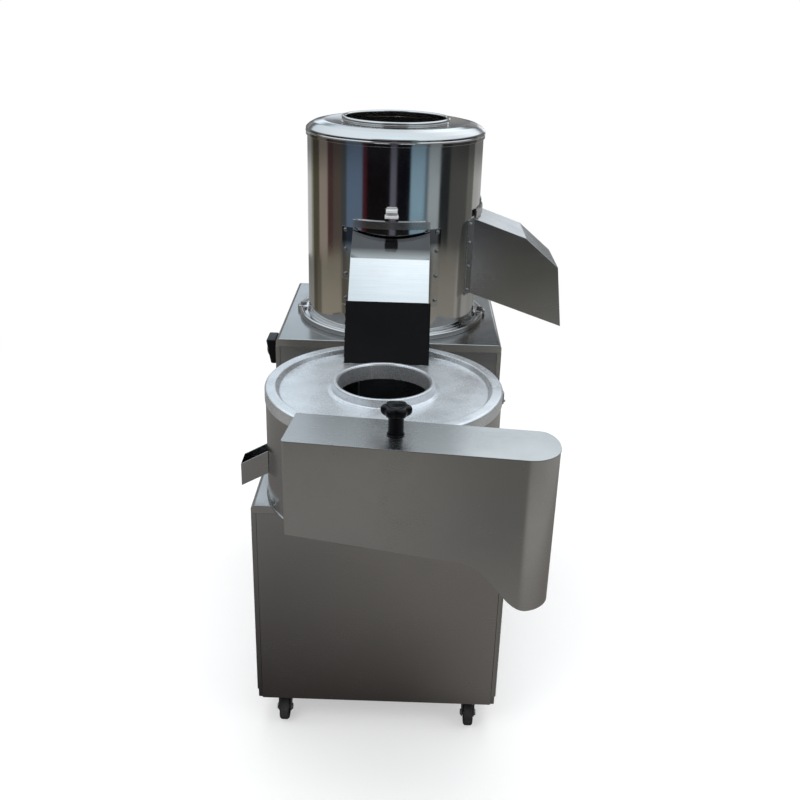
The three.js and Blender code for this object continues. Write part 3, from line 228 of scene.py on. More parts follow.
satinTones = (0.44, 0.437, 0.432), (0.5, 0.497, 0.492), (0.4, 0.397, 0.392)
plateFace = ((0.56, 0.555, 0.545), (0.61, 0.605, 0.6), (0.4, 0.397, 0.392), (9, 300, 300), (0.07, 0.11),
             0.000006, 0.0002, 0.2)
finishes = {}
metal("satinAcross", *satinTones, (12, 1500, 1500), (0.2, 0.26), 0.000008, 0.0006)
metal("satinUp", *satinTones, (1500, 1500, 12), (0.2, 0.26), 0.000008, 0.0005)
metal("satinAlong", *satinTones, (1500, 12, 1500), (0.18, 0.24), 0.000008, 0.0005)
# A darker, bluer copy of the satin steel for the step panel: painted shade
metal("shadedSteel", (0.2, 0.21, 0.225), (0.25, 0.262, 0.28), (0.18, 0.19, 0.205), (12, 1500, 1500), (0.2, 0.26),
      0.000008, 0.0006)
metal("mirror", (0.6, 0.59, 0.575), (0.64, 0.635, 0.625), (0.55, 0.545, 0.53), (900, 900, 6), (0.07, 0.11),
      0.000003, 0.00012, streak=0.1, wave=6, smear=0.05, wearTone=(0.78, 0.78, 0.77))
metal("polishedPlate", *plateFace)
# The hood plate's tone darkens towards the top, next to the drum: painted shade
metal("hoodPlate", *plateFace, paintedShadeSpan=(0.847, 0.861), paintedShadeTone=(0.12, 0.117, 0.119))
metal("brightSteel", (0.78, 0.79, 0.8), (0.86, 0.87, 0.88), (0.7, 0.7, 0.7), (12, 700, 700), (0.3, 0.4),
      0.00001, 0.0002, metallic=0.25, wearTone=(0.9, 0.9, 0.9))
metal("cast", (0.66, 0.685, 0.71), (0.84, 0.86, 0.885), (0.6, 0.62, 0.64), (700, 700, 700), (0.22, 0.3),
      0.00006, 0.0016, streak=0.3, metallic=0.82, wave=11, cloud=13, smear=0.1, wearTone=(0.78, 0.79, 0.8))
metal("zinc", (0.46, 0.48, 0.5), (0.6, 0.6, 0.58), (0.55, 0.53, 0.45), (160, 160, 160), (0.28, 0.42),
      0.00002, 0.0002, cloud=40)
metal("turnedIron", (0.2, 0.2, 0.205), (0.32, 0.32, 0.325), (0.16, 0.13, 0.11), (90, 90, 600), (0.35, 0.5),
      0.00004, 0.0002)
metal("stainedCast", (0.03, 0.03, 0.031), (0.07, 0.07, 0.072), (0.02, 0.02, 0.02), (300, 300, 300), (0.45, 0.6),
      0.0001, 0.0006)
metal("ironEnamel", (0.07, 0.085, 0.1), (0.11, 0.13, 0.15), (0.05, 0.06, 0.07), (500, 500, 500), (0.35, 0.5),
      0.0001, 0.0006, metallic=0, wearTone=(0.3, 0.3, 0.31))
moulded("mouldedBlack", (0.008, 0.008, 0.009), (0.014, 0.014, 0.015), (0.05, 0.05, 0.052), 1400, 0.00008, 30, 0.35,
        (0.28, 0.42))
moulded("sheetRubber", (0.004, 0.004, 0.005), (0.006, 0.006, 0.007), (0.02, 0.02, 0.022), 900, 0.00005, 14, 0.4,
        (0.6, 0.75), 0.1)
moulded("glossBlack", (0.002, 0.002, 0.003), (0.004, 0.004, 0.005), (0.03, 0.03, 0.032), 700, 0.00002, 40, 0.25,
        (0.12, 0.2), 0.12)
moulded("tyreRubber", (0.018, 0.018, 0.019), (0.04, 0.038, 0.036), (0.09, 0.085, 0.08), 1200, 0.0001, 60, 0.5,
        (0.6, 0.8), 0.3)
moulded("greenCap", (0.02, 0.22, 0.05), (0.035, 0.3, 0.07), (0.2, 0.5, 0.25), 500, 0.00002, 60, 0.3, (0.18, 0.3))
moulded("redCap", (0.38, 0.018, 0.014), (0.52, 0.03, 0.022), (0.7, 0.2, 0.18), 500, 0.00002, 60, 0.3, (0.18, 0.3))
moulded("hubPlastic", (0.06, 0.062, 0.065), (0.09, 0.092, 0.095), (0.18, 0.18, 0.18), 900, 0.00006, 50, 0.3,
        (0.4, 0.55))
gritty("gritCoat", (0.03, 0.028, 0.026), (0.16, 0.15, 0.14), (0.05, 0.04, 0.033), 420, 0.0012, 9)
print("materials made:", len(finishes))


# Geometry Nodes trees
def newTree(name, inputs):
    tree = bpy.data.node_groups.new(name, "GeometryNodeTree")
    for label, kind in (("Geometry", "Geometry"), *inputs, ("Finish", "Material")):
        tree.interface.new_socket(label, in_out="INPUT", socket_type="NodeSocket" + kind)
    tree.interface.new_socket("Geometry", in_out="OUTPUT", socket_type="NodeSocketGeometry")
    return tree, node(tree, "NodeGroupInput").outputs


def endTree(tree, geometry, material):
    real = first(tree, "GeometryNodeRealizeInstances", {"Geometry": geometry})
    dressed = first(tree, "GeometryNodeSetMaterial", {"Geometry": real, "Material": material})
    node(tree, "NodeGroupOutput", {0: dressed})
    return tree


def combined(tree, x=0.0, y=0.0, z=0.0):
    return first(tree, "ShaderNodeCombineXYZ", {0: x, 1: y, 2: z})


# Turns a closed section, drawn in X and Z, round the Z axis
def turnedTree():
    tree, inputs = newTree("turnedForm", [("Segments", "Int"), ("Guide Radius", "Float")])
    section = first(tree, "GeometryNodeMeshToCurve", {"Mesh": inputs["Geometry"]})
    axes = axesOf(tree, first(tree, "GeometryNodeInputPosition"))
    reach = math2(tree, "SUBTRACT", axes[0], inputs["Guide Radius"])
    flat = combined(tree, reach, math2(tree, "MULTIPLY", axes[2], -1.0))
    section = first(tree, "GeometryNodeSetPosition", {"Geometry": section, "Position": flat})
    guide = first(tree, "GeometryNodeCurvePrimitiveCircle", {
        "Resolution": inputs["Segments"], "Radius": inputs["Guide Radius"]})
    surface = first(tree, "GeometryNodeCurveToMesh", {"Curve": guide, "Profile Curve": section})
    return endTree(tree, surface, inputs["Finish"])


# Puts one shape, standing along the point's own "facing", on every point
def spreadTree(name, labels, shape, kinds=None):
    tree, given = newTree(name, [(label, (kinds or {}).get(label, "Float")) for label in labels])
    facing = first(tree, "GeometryNodeInputNamedAttribute", {"Name": "facing"}, data_type="FLOAT_VECTOR")
    turn = first(tree, "FunctionNodeAlignRotationToVector", {"Vector": facing}, axis="Z")
    spread = first(tree, "GeometryNodeInstanceOnPoints", {
        "Points": given["Geometry"], "Instance": shape(tree, given), "Rotation": turn})
    return endTree(tree, spread, given["Finish"])


def moved(tree, geometry, lift, scale=(1, 1, 1)):
    return first(tree, "GeometryNodeTransform", {
        "Geometry": geometry, "Translation": combined(tree, z=lift), "Scale": scale})


def disk(tree, sides, radius, depth):
    return first(tree, "GeometryNodeMeshCylinder", {"Vertices": sides, "Radius": radius, "Depth": depth})


def ball(tree, segments, rings):
    return first(tree, "GeometryNodeMeshUVSphere", {"Segments": segments, "Rings": rings, "Radius": 1})


# A bolt: washer, head with the given number of sides and a low dome on it
def boltShape(tree, given):
    washerHeight, headHeight = given["Washer Height"], given["Head Height"]
    flat = math2(tree, "MULTIPLY", given["Head Radius"], 0.84)
    washerMiddle = math2(tree, "MULTIPLY", washerHeight, 0.5)
    middle = math2(tree, "ADD", washerHeight, math2(tree, "MULTIPLY", headHeight, 0.5))
    join = node(tree, "GeometryNodeJoinGeometry")
    for shape in (
        moved(tree, disk(tree, 32, given["Washer Radius"], washerHeight), washerMiddle),
        moved(tree, disk(tree, given["Sides"], given["Head Radius"], headHeight), middle),
        moved(tree, ball(tree, 24, 12), math2(tree, "ADD", washerHeight, headHeight),
              combined(tree, flat, flat, given["Dome Height"])),
    ):
        tree.links.new(shape, join.inputs[0])
    return join.outputs[0]


# A pressed louvre: half a flattened, round-ended bulge over its slot
def louvreShape(tree, given):
    size = combined(tree, given["Half Width"], given["Half Height"], given["Reach"])
    return moved(tree, ball(tree, 32, 16), 0.0, size)


# Grains scattered on a surface
def grainTree():
    tree, given = newTree("looseGrain", [
        ("Density", "Float"), ("Smallest", "Float"), ("Largest", "Float"), ("Seed", "Int")])
    points = first(tree, "GeometryNodeDistributePointsOnFaces", {
        "Mesh": given["Geometry"], "Density": given["Density"], "Seed": given["Seed"]})
    size = node(tree, "FunctionNodeRandomValue", {
        "Min": given["Smallest"], "Max": given["Largest"], "Seed": given["Seed"]}, data_type="FLOAT").outputs[1]
    grain = first(tree, "GeometryNodeMeshIcoSphere", {"Radius": 1, "Subdivisions": 1})
    spread = first(tree, "GeometryNodeInstanceOnPoints", {"Points": points, "Instance": grain, "Scale": size})
    return endTree(tree, spread, given["Finish"])


boltLabels = ("Sides", "Head Radius", "Head Height", "Dome Height", "Washer Radius", "Washer Height")
trees = {
    "turned": turnedTree(), "grain": grainTree(),
    "bolts": spreadTree("boltRow", boltLabels, boltShape, {"Sides": "Int"}),
    "louvres": spreadTree("louvreRow", ("Half Width", "Half Height", "Reach"), louvreShape),
}
print("node trees made:", len(trees))


def evaluated(holder):
    graph = bpy.context.evaluated_depsgraph_get()
    made = bpy.data.meshes.new_from_object(holder.evaluated_get(graph), preserve_all_data_layers=True,
                                           depsgraph=graph)
    mesh = holder.data
    bpy.data.objects.remove(holder)
    bpy.data.meshes.remove(mesh)
    return made


def runTree(tree, mesh, values):
    holder = addObject("holder", mesh)
    modifier = holder.modifiers.new("nodes", "NODES")
    modifier.node_group = tree
    for item in tree.interface.items_tree:
        if item.in_out == "INPUT" and item.name in values:
            modifier[item.identifier] = values[item.name]
    return evaluated(holder)


def withModifiers(mesh, *steps):
    holder = addObject("holder", mesh)
    for kind, settings in steps:
        modifier = holder.modifiers.new(kind, kind)
        for key, value in settings.items():
            setattr(modifier, key, value)
    return evaluated(holder)


def newMesh(points, faces=(), edges=()):
    mesh = bpy.data.meshes.new("work")
    mesh.from_pydata([tuple(point) for point in points], list(edges), list(faces))
    return mesh


def placedMesh(points, faces, place=Matrix.Identity(4)):
    mesh = newMesh(points, faces)
    mesh.transform(toFrame @ place)
    return mesh


def meshOf(work, name="work"):
    mesh = bpy.data.meshes.new(name)
    work.to_mesh(mesh)
    work.free()
    return mesh


# Shape helpers, all in millimetres
def rounded(corners, steps=4, closed=True):
    points = []
    last = len(corners) - 1
    for i, (x, y, radius) in enumerate(corners):
        here = Vector((x, y))
        if radius <= 0 or (not closed and i in (0, last)):
            points.append(here)
            continue
        before = Vector(corners[i - 1][:2]) - here
        after = Vector(corners[(i + 1) % len(corners)][:2]) - here
        half = before.angle(after) / 2
        reach = min(radius / math.tan(half), 0.48 * before.length, 0.48 * after.length)
        radius = reach * math.tan(half)
        middle = here + (before.normalized() + after.normalized()).normalized() * radius / math.sin(half)
        start = here + before.normalized() * reach - middle
        end = here + after.normalized() * reach - middle
        sweep = math.atan2(start.x * end.y - start.y * end.x, start.dot(end))
        points.extend(middle + Matrix.Rotation(sweep * step / steps, 2) @ start for step in range(steps + 1))
    return points


def arc(radius, start, end, steps):
    return [polar(radius, start + (end - start) * i / steps)[:2] for i in range(steps + 1)]


def circle(radius, height, segments):
    return [polar(radius, 360 * i / segments, height) for i in range(segments)]


def turned(corners, place, segments=160, steps=4):
    section = rounded(corners, steps)
    points = [(point.x * mm, 0, point.y * mm) for point in section]
    edges = [(i, (i + 1) % len(points)) for i in range(len(points))]
    guide = sum(point.x for point in section) / len(section) * mm
    mesh = runTree(trees["turned"], newMesh(points, (), edges), {"Segments": segments, "Guide Radius": guide})
    mesh.transform(toFrame @ place @ Matrix.Scale(1 / mm, 4))
    return mesh


# A solid form of rings round Z, closed at both ends: rings are lists of points
def ringsMesh(rings, place):
    count = len(rings[0])
    faces = [(i * count + j, i * count + (j + 1) % count, (i + 1) * count + (j + 1) % count, (i + 1) * count + j)
             for i in range(len(rings) - 1) for j in range(count)]
    faces += [tuple(range(count)), tuple(range((len(rings) - 1) * count, len(rings) * count))]
    return placedMesh([point for ring in rings for point in ring], faces, place)


def solidTurned(corners, place, segments=64, steps=4):
    return ringsMesh([circle(p.x, p.y, segments) for p in rounded(corners, steps, False)], place)


def offsetOutline(outline, inset):
    count = len(outline)
    result = []
    for i, point in enumerate(outline):
        before = (Vector(point) - Vector(outline[i - 1])).normalized()
        after = (Vector(outline[(i + 1) % count]) - Vector(point)).normalized()
        side = Vector((-before.y - after.y, before.x + after.x)).normalized()
        reach = inset / max(side.dot(Vector((-before.y, before.x))), 0.3)
        result.append(Vector(point) + side * reach)
    return result


# A plate of an outline, counter-clockwise, with rounded edges
def plateMesh(outline, low, high, edge, place, steps=3):
    turns = [math.pi / 2 * i / steps for i in range(steps + 1)]
    levels = [(angle, low, 1) for angle in turns] + [(angle, high, -1) for angle in reversed(turns)]
    return ringsMesh([[(p.x, p.y, start + way * edge * (1 - math.cos(angle)))
                       for p in offsetOutline(outline, edge * (1 - math.sin(angle)))]
                      for angle, start, way in levels], place)


def cubeOf(low, high):
    low, high = Vector(low), Vector(high)
    work = bmesh.new()
    bmesh.ops.create_cube(work, size=1)
    bmesh.ops.scale(work, vec=high - low, verts=work.verts)
    bmesh.ops.translate(work, vec=(low + high) / 2, verts=work.verts)
    return work


def boxMesh(low, high, edge, place, steps=3):
    work = cubeOf(low, high)
    bmesh.ops.bevel(work, geom=work.edges[:], offset=edge, segments=steps, profile=0.5, affect="EDGES")
    mesh = meshOf(work)
    mesh.transform(toFrame @ place)
    return mesh


# A curved wall with openings (from angle, to angle, low, high), in degrees from +X
def shellMesh(values, place):
    edges = {angle % 360 for opening in values["openings"] for angle in opening[:2]}
    step = 360 / values["segments"]
    regular = {i * step for i in range(values["segments"])}
    close = {a for a in regular if any(min(abs(a - e), 360 - abs(a - e)) < step * 0.35 for e in edges)}
    angles = sorted((regular - close) | edges)
    heights = sorted({values["low"], values["high"]} | {z for opening in values["openings"] for z in opening[2:]})
    rows, columns = len(heights), len(angles)

    def isSolid(i, j):
        if j < 0 or j >= rows - 1:
            return False
        middle = (angles[i] + ((angles[(i + 1) % columns] - angles[i]) % 360) / 2) % 360
        height = (heights[j] + heights[j + 1]) / 2
        return not any((middle - start) % 360 < (end - start) % 360 and low < height < high
                       for start, end, low, high in values["openings"])

    points = [polar(values[side], angle, z) for side in ("outer", "inner") for angle in angles for z in heights]
    inside = rows * columns
    faces = []
    for i in range(columns):
        k = (i + 1) % columns
        for j in (j for j in range(rows - 1) if isSolid(i, j)):
            a, b, c, d = i * rows + j, k * rows + j, k * rows + j + 1, i * rows + j + 1
            faces += [(a, b, c, d), (d + inside, c + inside, b + inside, a + inside)]
            beside = ((i, j - 1, b, a), (i, j + 1, d, c), ((i - 1) % columns, j, a, d), (k, j, c, b))
            faces.extend((one, other, other + inside, one + inside)
                         for column, row, one, other in beside if not isSolid(column, row))
    return placedMesh(points, faces, place)


# A CAD node's own form with its folds and edges rounded
def roundedCopy(cadNode, radius, steps=3, least=20):
    work = bmesh.new()
    work.from_mesh(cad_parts[cadNode].data)
    bmesh.ops.remove_doubles(work, verts=work.verts, dist=2e-6)
    bmesh.ops.dissolve_limit(work, angle_limit=math.radians(0.6), verts=work.verts, edges=work.edges)
    weights = work.edges.layers.float.new("bevel_weight_edge")
    for edge in work.edges:
        if len(edge.link_faces) != 2 or edge.calc_face_angle(0) < math.radians(least):
            continue
        width = min(face.calc_area() for face in edge.link_faces) / max(edge.calc_length(), 1e-6) / mm
        shortest = min(other.calc_length() for vert in edge.verts for other in vert.link_edges) / mm
        edge[weights] = min(radius, 0.4 * width, max(0.45 * shortest, 0.3)) / radius
    settings = {"limit_method": "WEIGHT", "width": radius * mm, "segments": steps, "use_clamp_overlap": False}
    return withModifiers(meshOf(work), ("BEVEL", settings))


def pointsMesh(places, facings, place=Matrix.Identity(4)):
    mesh = placedMesh(places, (), place)
    attribute = mesh.attributes.new("facing", "FLOAT_VECTOR", "POINT")
    for item, facing in zip(attribute.data, facings):
        item.vector = facing
    return mesh


# The name of the CAD node that a piece such as frontPanel stands for
def nodeName(name):
    return "".join("_" + letter.lower() if letter.isupper() else letter for letter in name)


# Joins meshes to one piece, dresses it and hands it to its body
def piece(name, meshes, finish, body="frame", nodes=None, sharp=34, flat=60):
    work = bmesh.new()
    for mesh in meshes:
        work.from_mesh(mesh)
        bpy.data.meshes.remove(mesh)
    bmesh.ops.recalc_face_normals(work, faces=work.faces)
    data = meshOf(work, name)
    data.materials.clear()
    data.materials.append(finishes[finish])
    for polygon in data.polygons:
        polygon.use_smooth = True
        polygon.material_index = 0
    data.set_sharp_from_angle(angle=math.radians(sharp))
    data = withModifiers(data, ("WEIGHTED_NORMAL", {"keep_sharp": True, "weight": flat}))
    data.name = name
    made = addObject(name, data)
    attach(made, body)
    replaced = [nodeName(name)] if nodes is None else nodes
    if replaced:
        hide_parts(*replaced)


# A piece of one shape on many points; its values are millimetres, and every key is an input of the tree
def rowPiece(name, tree, places, facings, finish, values, place=Matrix.Identity(4), nodes=()):
    given = {key: value if key == "Sides" else value * mm for key, value in values.items()}
    mesh = runTree(trees[tree], pointsMesh(places, facings, place), {**given, "Finish": finishes[finish]})
    piece(name, [mesh], finish, nodes=nodes)


washPlace, slicerPlace = upright(machine["washAxis"]), upright(machine["slicerAxis"])
addCamera(cameraView)

# Cabinet and small parts that follow their solid: finish, radius of the folds, steps in them
copies = {
    "leftSidePanel": ("satinUp", 2.4), "rightSidePanel": ("satinUp", 2.4), "frontPanel": ("satinAcross", 1.2),
    # the step panel takes the darker copy of the satin steel, a painted shade
    "stepPanel": ("shadedSteel", 0.6), "basePan": ("satinAcross", 2), "rearPanel": ("satinAcross", 0.5),
    "knifeHolder": ("satinAcross", 0.9), "knifeBlade": ("mirror", 0.5), "wasteSpout": ("satinAcross", 1),
    "lidCatch": ("zinc", 1.4), "switchHousing": ("glossBlack", 3.2, 4),
}
for name, (finish, *folds) in copies.items():
    piece(name, [roundedCopy(nodeName(name), *folds)], finish)

deck = {"drop": 15, "sheet": 1.6, "sideFold": 8, "endFold": 1.8, "cornerFold": 3, "gap": 0.3}


# A tray upside down: wide round folds along its sides, close ones at the front and back
def deckMesh(front, back, top, values):
    half = machine["halfWidth"]
    work = cubeOf((-half, front, top - values["drop"]), (half, back, top))
    bmesh.ops.delete(work, geom=[face for face in work.faces if face.normal.z < -0.5], context="FACES")
    weights = work.edges.layers.float.new("bevel_weight_edge")
    for edge in work.edges:
        if len(edge.link_faces) == 2:
            line = edge.verts[0].co - edge.verts[1].co
            fold = "sideFold" if abs(line.y) > 1 else "cornerFold" if abs(line.z) > 1 else "endFold"
            edge[weights] = values[fold] / values["sideFold"]
    mesh = meshOf(work)
    mesh.transform(toFrame)
    return withModifiers(
        mesh, ("BEVEL", {"limit_method": "WEIGHT", "width": values["sideFold"] * mm, "segments": 8}),
        ("SOLIDIFY", {"thickness": values["sheet"] * mm, "offset": -1}))


piece("frontDeck", [deckMesh(0, machine["step"] - deck["gap"], machine["frontDeck"], deck)], "satinAlong")
piece("rearDeck", [deckMesh(machine["step"], machine["depth"], machine["rearDeck"], deck)], "satinAlong")

# Rear panel: pressed louvres over its slots, and screws round its edge
louvres = {"rows": 8, "bottom": 206, "pitch": 22, "column": 95}
louvreForm = {"Half Width": 66, "Half Height": 9, "Reach": 7}
spots = [(side * louvres["column"], machine["depth"], louvres["bottom"] + row * louvres["pitch"])
         for row in range(louvres["rows"]) for side in (-1, 1)]
rowPiece("ventLouvres", "louvres", spots, [(0, 1, 0)] * len(spots), "satinAcross", louvreForm)
screw = {"Sides": 24, "Head Radius": 3.6, "Head Height": 1.2, "Dome Height": 1.4, "Washer Radius": 4.6,
         "Washer Height": 0.6}
spots = [(x, machine["depth"], z) for x in (-205, 205) for z in (110, 230, 350, 470, 590, 640)]
spots += [(x, machine["depth"], 640) for x in (-100, 0, 100)]
rowPiece("rearScrews", "bolts", spots, [(0, 1, 0)] * len(spots), "zinc", screw)
print("cabinet made")

# Washing unit base: a ring with four lugs and a raised rim, and the drum's floor
base = {"radius": 197, "lugRadius": 12, "lugCentre": 191, "low": 668.3, "valley": 674.5, "rim": 680,
        "wall": 178.4, "skirt": 160, "floorLow": 686, "floorHigh": 690, "bore": 14, "segments": 360}
lugBolt = {"Sides": 6, "Head Radius": 6.4, "Head Height": 4.6, "Dome Height": 1.3, "Washer Radius": 8,
           "Washer Height": 1.2}
lugTop = 678.6


# How far the ring reaches out at an angle: to the ring, or round a lug with a soft foot
def baseReach(degrees, values):
    offset = (degrees + 45) % 90 - 45
    across = abs(values["lugCentre"] * math.sin(math.radians(offset)))
    ring, lug = values["radius"], values["lugRadius"]
    tip = values["lugCentre"] + lug - ring
    return ring + tip * math.sqrt(max(0, 1 - (across / lug) ** 2)) if across < lug else ring


def baseMesh(values, place):
    bore, skirt, wall, valley = values["bore"], values["skirt"], values["wall"], values["valley"]
    low, rim, floorLow, floorHigh = values["low"], values["rim"], values["floorLow"], values["floorHigh"]
    count, points = values["segments"], []
    for i in range(count):
        reach = baseReach(360 * i / count, values)
        section = rounded([
            (bore, floorLow, 0), (skirt, floorLow, 3), (skirt, low, 0.5), (reach, low, 0.8), (reach, rim - 2, 2.4),
            (reach - 4.5, rim, 2.4), (reach - 9, valley, 2.5), (wall + 1, valley + 0.6, 2), (wall, rim + 0.4, 0.5),
            (wall - 2.6, rim + 0.4, 0.4), (wall - 2.6, floorHigh, 0.4), (bore, floorHigh, 0)], 3)
        points.extend(polar(p.x, 360 * i / count, p.y) for p in section)
    size = len(section)
    faces = [(i * size + j, (i + 1) % count * size + j, (i + 1) % count * size + (j + 1) % size,
              i * size + (j + 1) % size) for i in range(count) for j in range(size)]
    return placedMesh(points, faces, place)


piece("washBase", [baseMesh(base, washPlace)], "polishedPlate")
spots = [polar(base["lugCentre"], degrees, lugTop) for degrees in (0, 90, 180, 270)]
rowPiece("lugBolts", "bolts", spots, [(0, 0, 1)] * 4, "turnedIron", lugBolt, washPlace,
         ["lug_bolt_front", "lug_bolt_right", "lug_bolt_back", "lug_bolt_left"])

# Washing drum, its grit lining and the disc
drum = {"outer": 178, "inner": 176, "low": 680.3, "high": 1044, "segments": 256,
        "openings": [(250.3, 289.7, 786, 870), (340.3, 379.7, 762, 870), (88.3, 91.7, 995, 1005)]}
lining = {"outer": 175.7, "inner": 171, "low": 690.3, "high": 1043.7, "segments": 192,
          "openings": [(249.8, 290.2, 784.5, 871.5), (339.8, 380.2, 760.5, 871.5), (88.3, 91.7, 995, 1005)]}
disc = {"radius": 165, "top": 728, "bottom": 716, "hubLow": 696, "hub": 32, "ramps": 4, "rampRise": 6, "cap": 27,
        "capRise": 8, "middle": 0.6, "segments": 192, "rings": 28}
grains = {"Density": 26000, "Smallest": 0.0007, "Largest": 0.0019, "Seed": 7, "Finish": finishes["gritCoat"]}
grainFace = {"inner": 34, "outer": 162, "height": 728.4, "segments": 48}


def discMesh(values, place):
    radius, top, cap, segments = values["radius"], values["top"], values["cap"], values["segments"]
    hub, hubLow, bottom, middle = values["hub"], values["hubLow"], values["bottom"], values["middle"]
    under = ((middle, hubLow), (hub, hubLow), (hub, bottom), (radius - 1, bottom), (radius, bottom + 1.5),
             (radius, top - 2))
    rings = [circle(*corner, segments) for corner in under]
    for k in range(values["rings"] + 1):
        share = k / values["rings"]
        reach = (radius - 1.5) * (1 - share) + middle * share
        fade = min(1, (radius - reach) / 20) * min(1, max(0, reach - cap) / 12)
        height = top + values["capRise"] * math.sqrt(max(0, 1 - (reach / cap) ** 2))
        swells = (max(0, math.cos(2 * math.pi * values["ramps"] * i / segments)) ** 3 for i in range(segments))
        rings.append([polar(reach, 360 * i / segments, height + values["rampRise"] * swell * fade)
                      for i, swell in enumerate(swells)])
    return ringsMesh(rings, place)


def grainMesh(values, place):
    count = values["segments"]
    points = [point for side in ("inner", "outer") for point in circle(values[side], values["height"], count)]
    faces = [(i, (i + 1) % count, count + (i + 1) % count, count + i) for i in range(count)]
    return runTree(trees["grain"], placedMesh(points, faces, place), grains)


piece("washDrum", [shellMesh(drum, washPlace)], "mirror")
piece("abrasiveLiner", [shellMesh(lining, washPlace)], "gritCoat")
piece("abrasiveDisc", [discMesh(disc, washPlace)], "gritCoat", "wash_rotor")
piece("discGrit", [grainMesh(grainFace, washPlace)], "gritCoat", "wash_rotor", (), sharp=70)

# Lift-off lid: rolled lip, domed shoulder and the collar round the filling hole
lidCorners = [
    (178.4, 1042.6, 0.4), (180.6, 1042.6, 0.6), (180.6, 1048.6, 0.6), (181.5, 1050.5, 0.9), (180.6, 1052.4, 0.6),
    (180.6, 1056.6, 4), (175.3, 1061.4, 9), (165.5, 1067, 24), (146, 1071.3, 30), (124, 1069.6, 30),
    (110.4, 1068.2, 6), (105.6, 1068.4, 2), (105.6, 1071.8, 1.4), (109.4, 1072.6, 2), (109.4, 1079.2, 3.6),
    (101.2, 1079.2, 3.2), (101.2, 1066.6, 0.5), (110.8, 1066.6, 4), (124, 1068, 30), (146, 1069.7, 30),
    (164.8, 1065.5, 24), (173.6, 1060.4, 8), (178.4, 1055.8, 3),
]
piece("washLid", [turned(lidCorners, washPlace, 256, 6)], "mirror", "lid")
print("washing drum made")

# Outlets: hood and chute are bent from sheet, riveted to the drum by narrow flanges
guide = {"inner": 181.4, "outer": 183.9, "height": 15, "half": 23.9, "steps": 40, "edge": 0.6}
gate = {"inner": 178.7, "outer": 180.7, "half": 21.1, "tabHalf": 4.15, "steps": 32, "edge": 0.5, "overGuide": 16.8,
        "tabOverlap": 3, "lipReach": 14, "lipHeight": 5, "lipEdge": 0.7, "lips": ((8, 13), (19, 11))}
foot = {"inner": 178.4, "outer": 179.8, "steps": 12, "edge": 0.4, "from": 24.7, "to": 32.4, "low": 730,
        "high": 784}
rivet = {"Sides": 24, "Head Radius": 3.8, "Head Height": 0.6, "Dome Height": 1.8, "Washer Radius": 4.2,
         "Washer Height": 1.6}
rivetReach = 179.6


def curvedPlate(values, start, end, low, high):
    outline = arc(values["outer"], start, end, values["steps"]) + arc(values["inner"], end, start, values["steps"])
    return plateMesh(outline, low, high, values["edge"], washPlace)


def gateMesh(values, middle, bottom, top, pull):
    high, half, tab = top + values["overGuide"], values["half"], values["tabHalf"]
    return [curvedPlate(values, middle - half, middle + half, bottom, high),
            curvedPlate(values, middle - tab, middle + tab, high - values["tabOverlap"], high + pull)]


def gateLips(values, middle, top):
    near, far = values["inner"] + 0.6, values["outer"] + values["lipReach"]
    place = washPlace @ rotated(middle)
    lips = []
    for rise, half in values["lips"]:
        outline = rounded([(near, -half, 0.4), (far, -half, 1.5), (far, half, 1.5), (near, half, 0.4)], 6)
        low = top + values["overGuide"] + rise
        lips.append(plateMesh(outline, low, low + values["lipHeight"], values["lipEdge"], place))
    return lips


piece("sideChute", [roundedCopy("side_chute", 1.1, least=9)], "satinAcross", flat=95)
feet = [curvedPlate(foot, 270 + side * foot["from"], 270 + side * foot["to"], foot["low"], foot["high"])
        for side in (-1, 1)]
piece("frontHood", [roundedCopy("front_hood", 1.1, least=9), *feet], "hoodPlate", flat=95)
for name, middle, low in (("frontGateGuide", 270, 889.5), ("sideGateGuide", 0, 895)):
    strip = curvedPlate(guide, middle - guide["half"], middle + guide["half"], low, low + guide["height"])
    piece(name, [strip], "satinAcross")
piece("frontGate", gateMesh(gate, 270, 776, 888, 24), "mirror", "front_gate_body")
piece("frontGatePull", gateLips(gate, 270, 888), "brightSteel", "front_gate_body", ())
piece("sideGate", gateMesh(gate, 0, 752, 893.5, 12), "mirror", "side_gate_body")
spots = [(side * 29.4, z) for side in (-1, 1) for z in (748, 797, 846, 884)]
spots += [(270 + side * 29.6, z) for side in (-1, 1) for z in (744, 794, 844, 882)]
rowPiece("outletRivets", "bolts", [polar(rivetReach, *spot) for spot in spots],
         [polar(1, degrees) for degrees, _ in spots], "turnedIron", rivet, washPlace)

# Rubber curtain: a thick sheet that hangs from the hood's lip and waves a little towards its foot
curtain = {"lip": (240, 783), "foot": (203, 702), "half": 77, "start": 1, "length": 113.5, "gap": 0.3, "thick": 4,
           "wave": 0.5, "waveLength": 21, "edge": 1, "columns": 24, "rows": 30}


def curtainMesh(values):
    lip, low = Vector(values["lip"]), Vector(values["foot"])
    down = (low - lip).normalized()
    out = Vector((down.y, -down.x))
    columns, rows, half, length = values["columns"], values["rows"], values["half"], values["length"]
    points = []
    for side in (0, 1):
        for i in range(rows + 1):
            drop = values["start"] + (length - values["start"]) * i / rows
            for j in range(columns + 1):
                across = -half + 2 * half * j / columns
                wave = values["wave"] * (1 + math.sin(across / values["waveLength"])) * (drop / length) ** 2
                spot = lip + down * drop + out * (values["gap"] + values["thick"] * side + wave)
                points.append((across, spot.x, spot.y))
    width = columns + 1
    size = (rows + 1) * width
    faces = []
    for a in (i * width + j for i in range(rows) for j in range(columns)):
        b, c = a + width, a + size
        faces += [(a, a + 1, b + 1, b), (c + width, c + width + 1, c + 1, c)]
    rim = [*range(columns), *(i * width + columns for i in range(rows))]
    rim += [*range(rows * width + columns, rows * width, -1), *(i * width for i in range(rows, 0, -1))]
    faces += [(one, other, other + size, one + size) for one, other in zip(rim, rim[1:] + rim[:1])]
    settings = {"width": values["edge"] * mm, "segments": 3, "limit_method": "ANGLE"}
    return withModifiers(placedMesh(points, faces), ("BEVEL", settings))


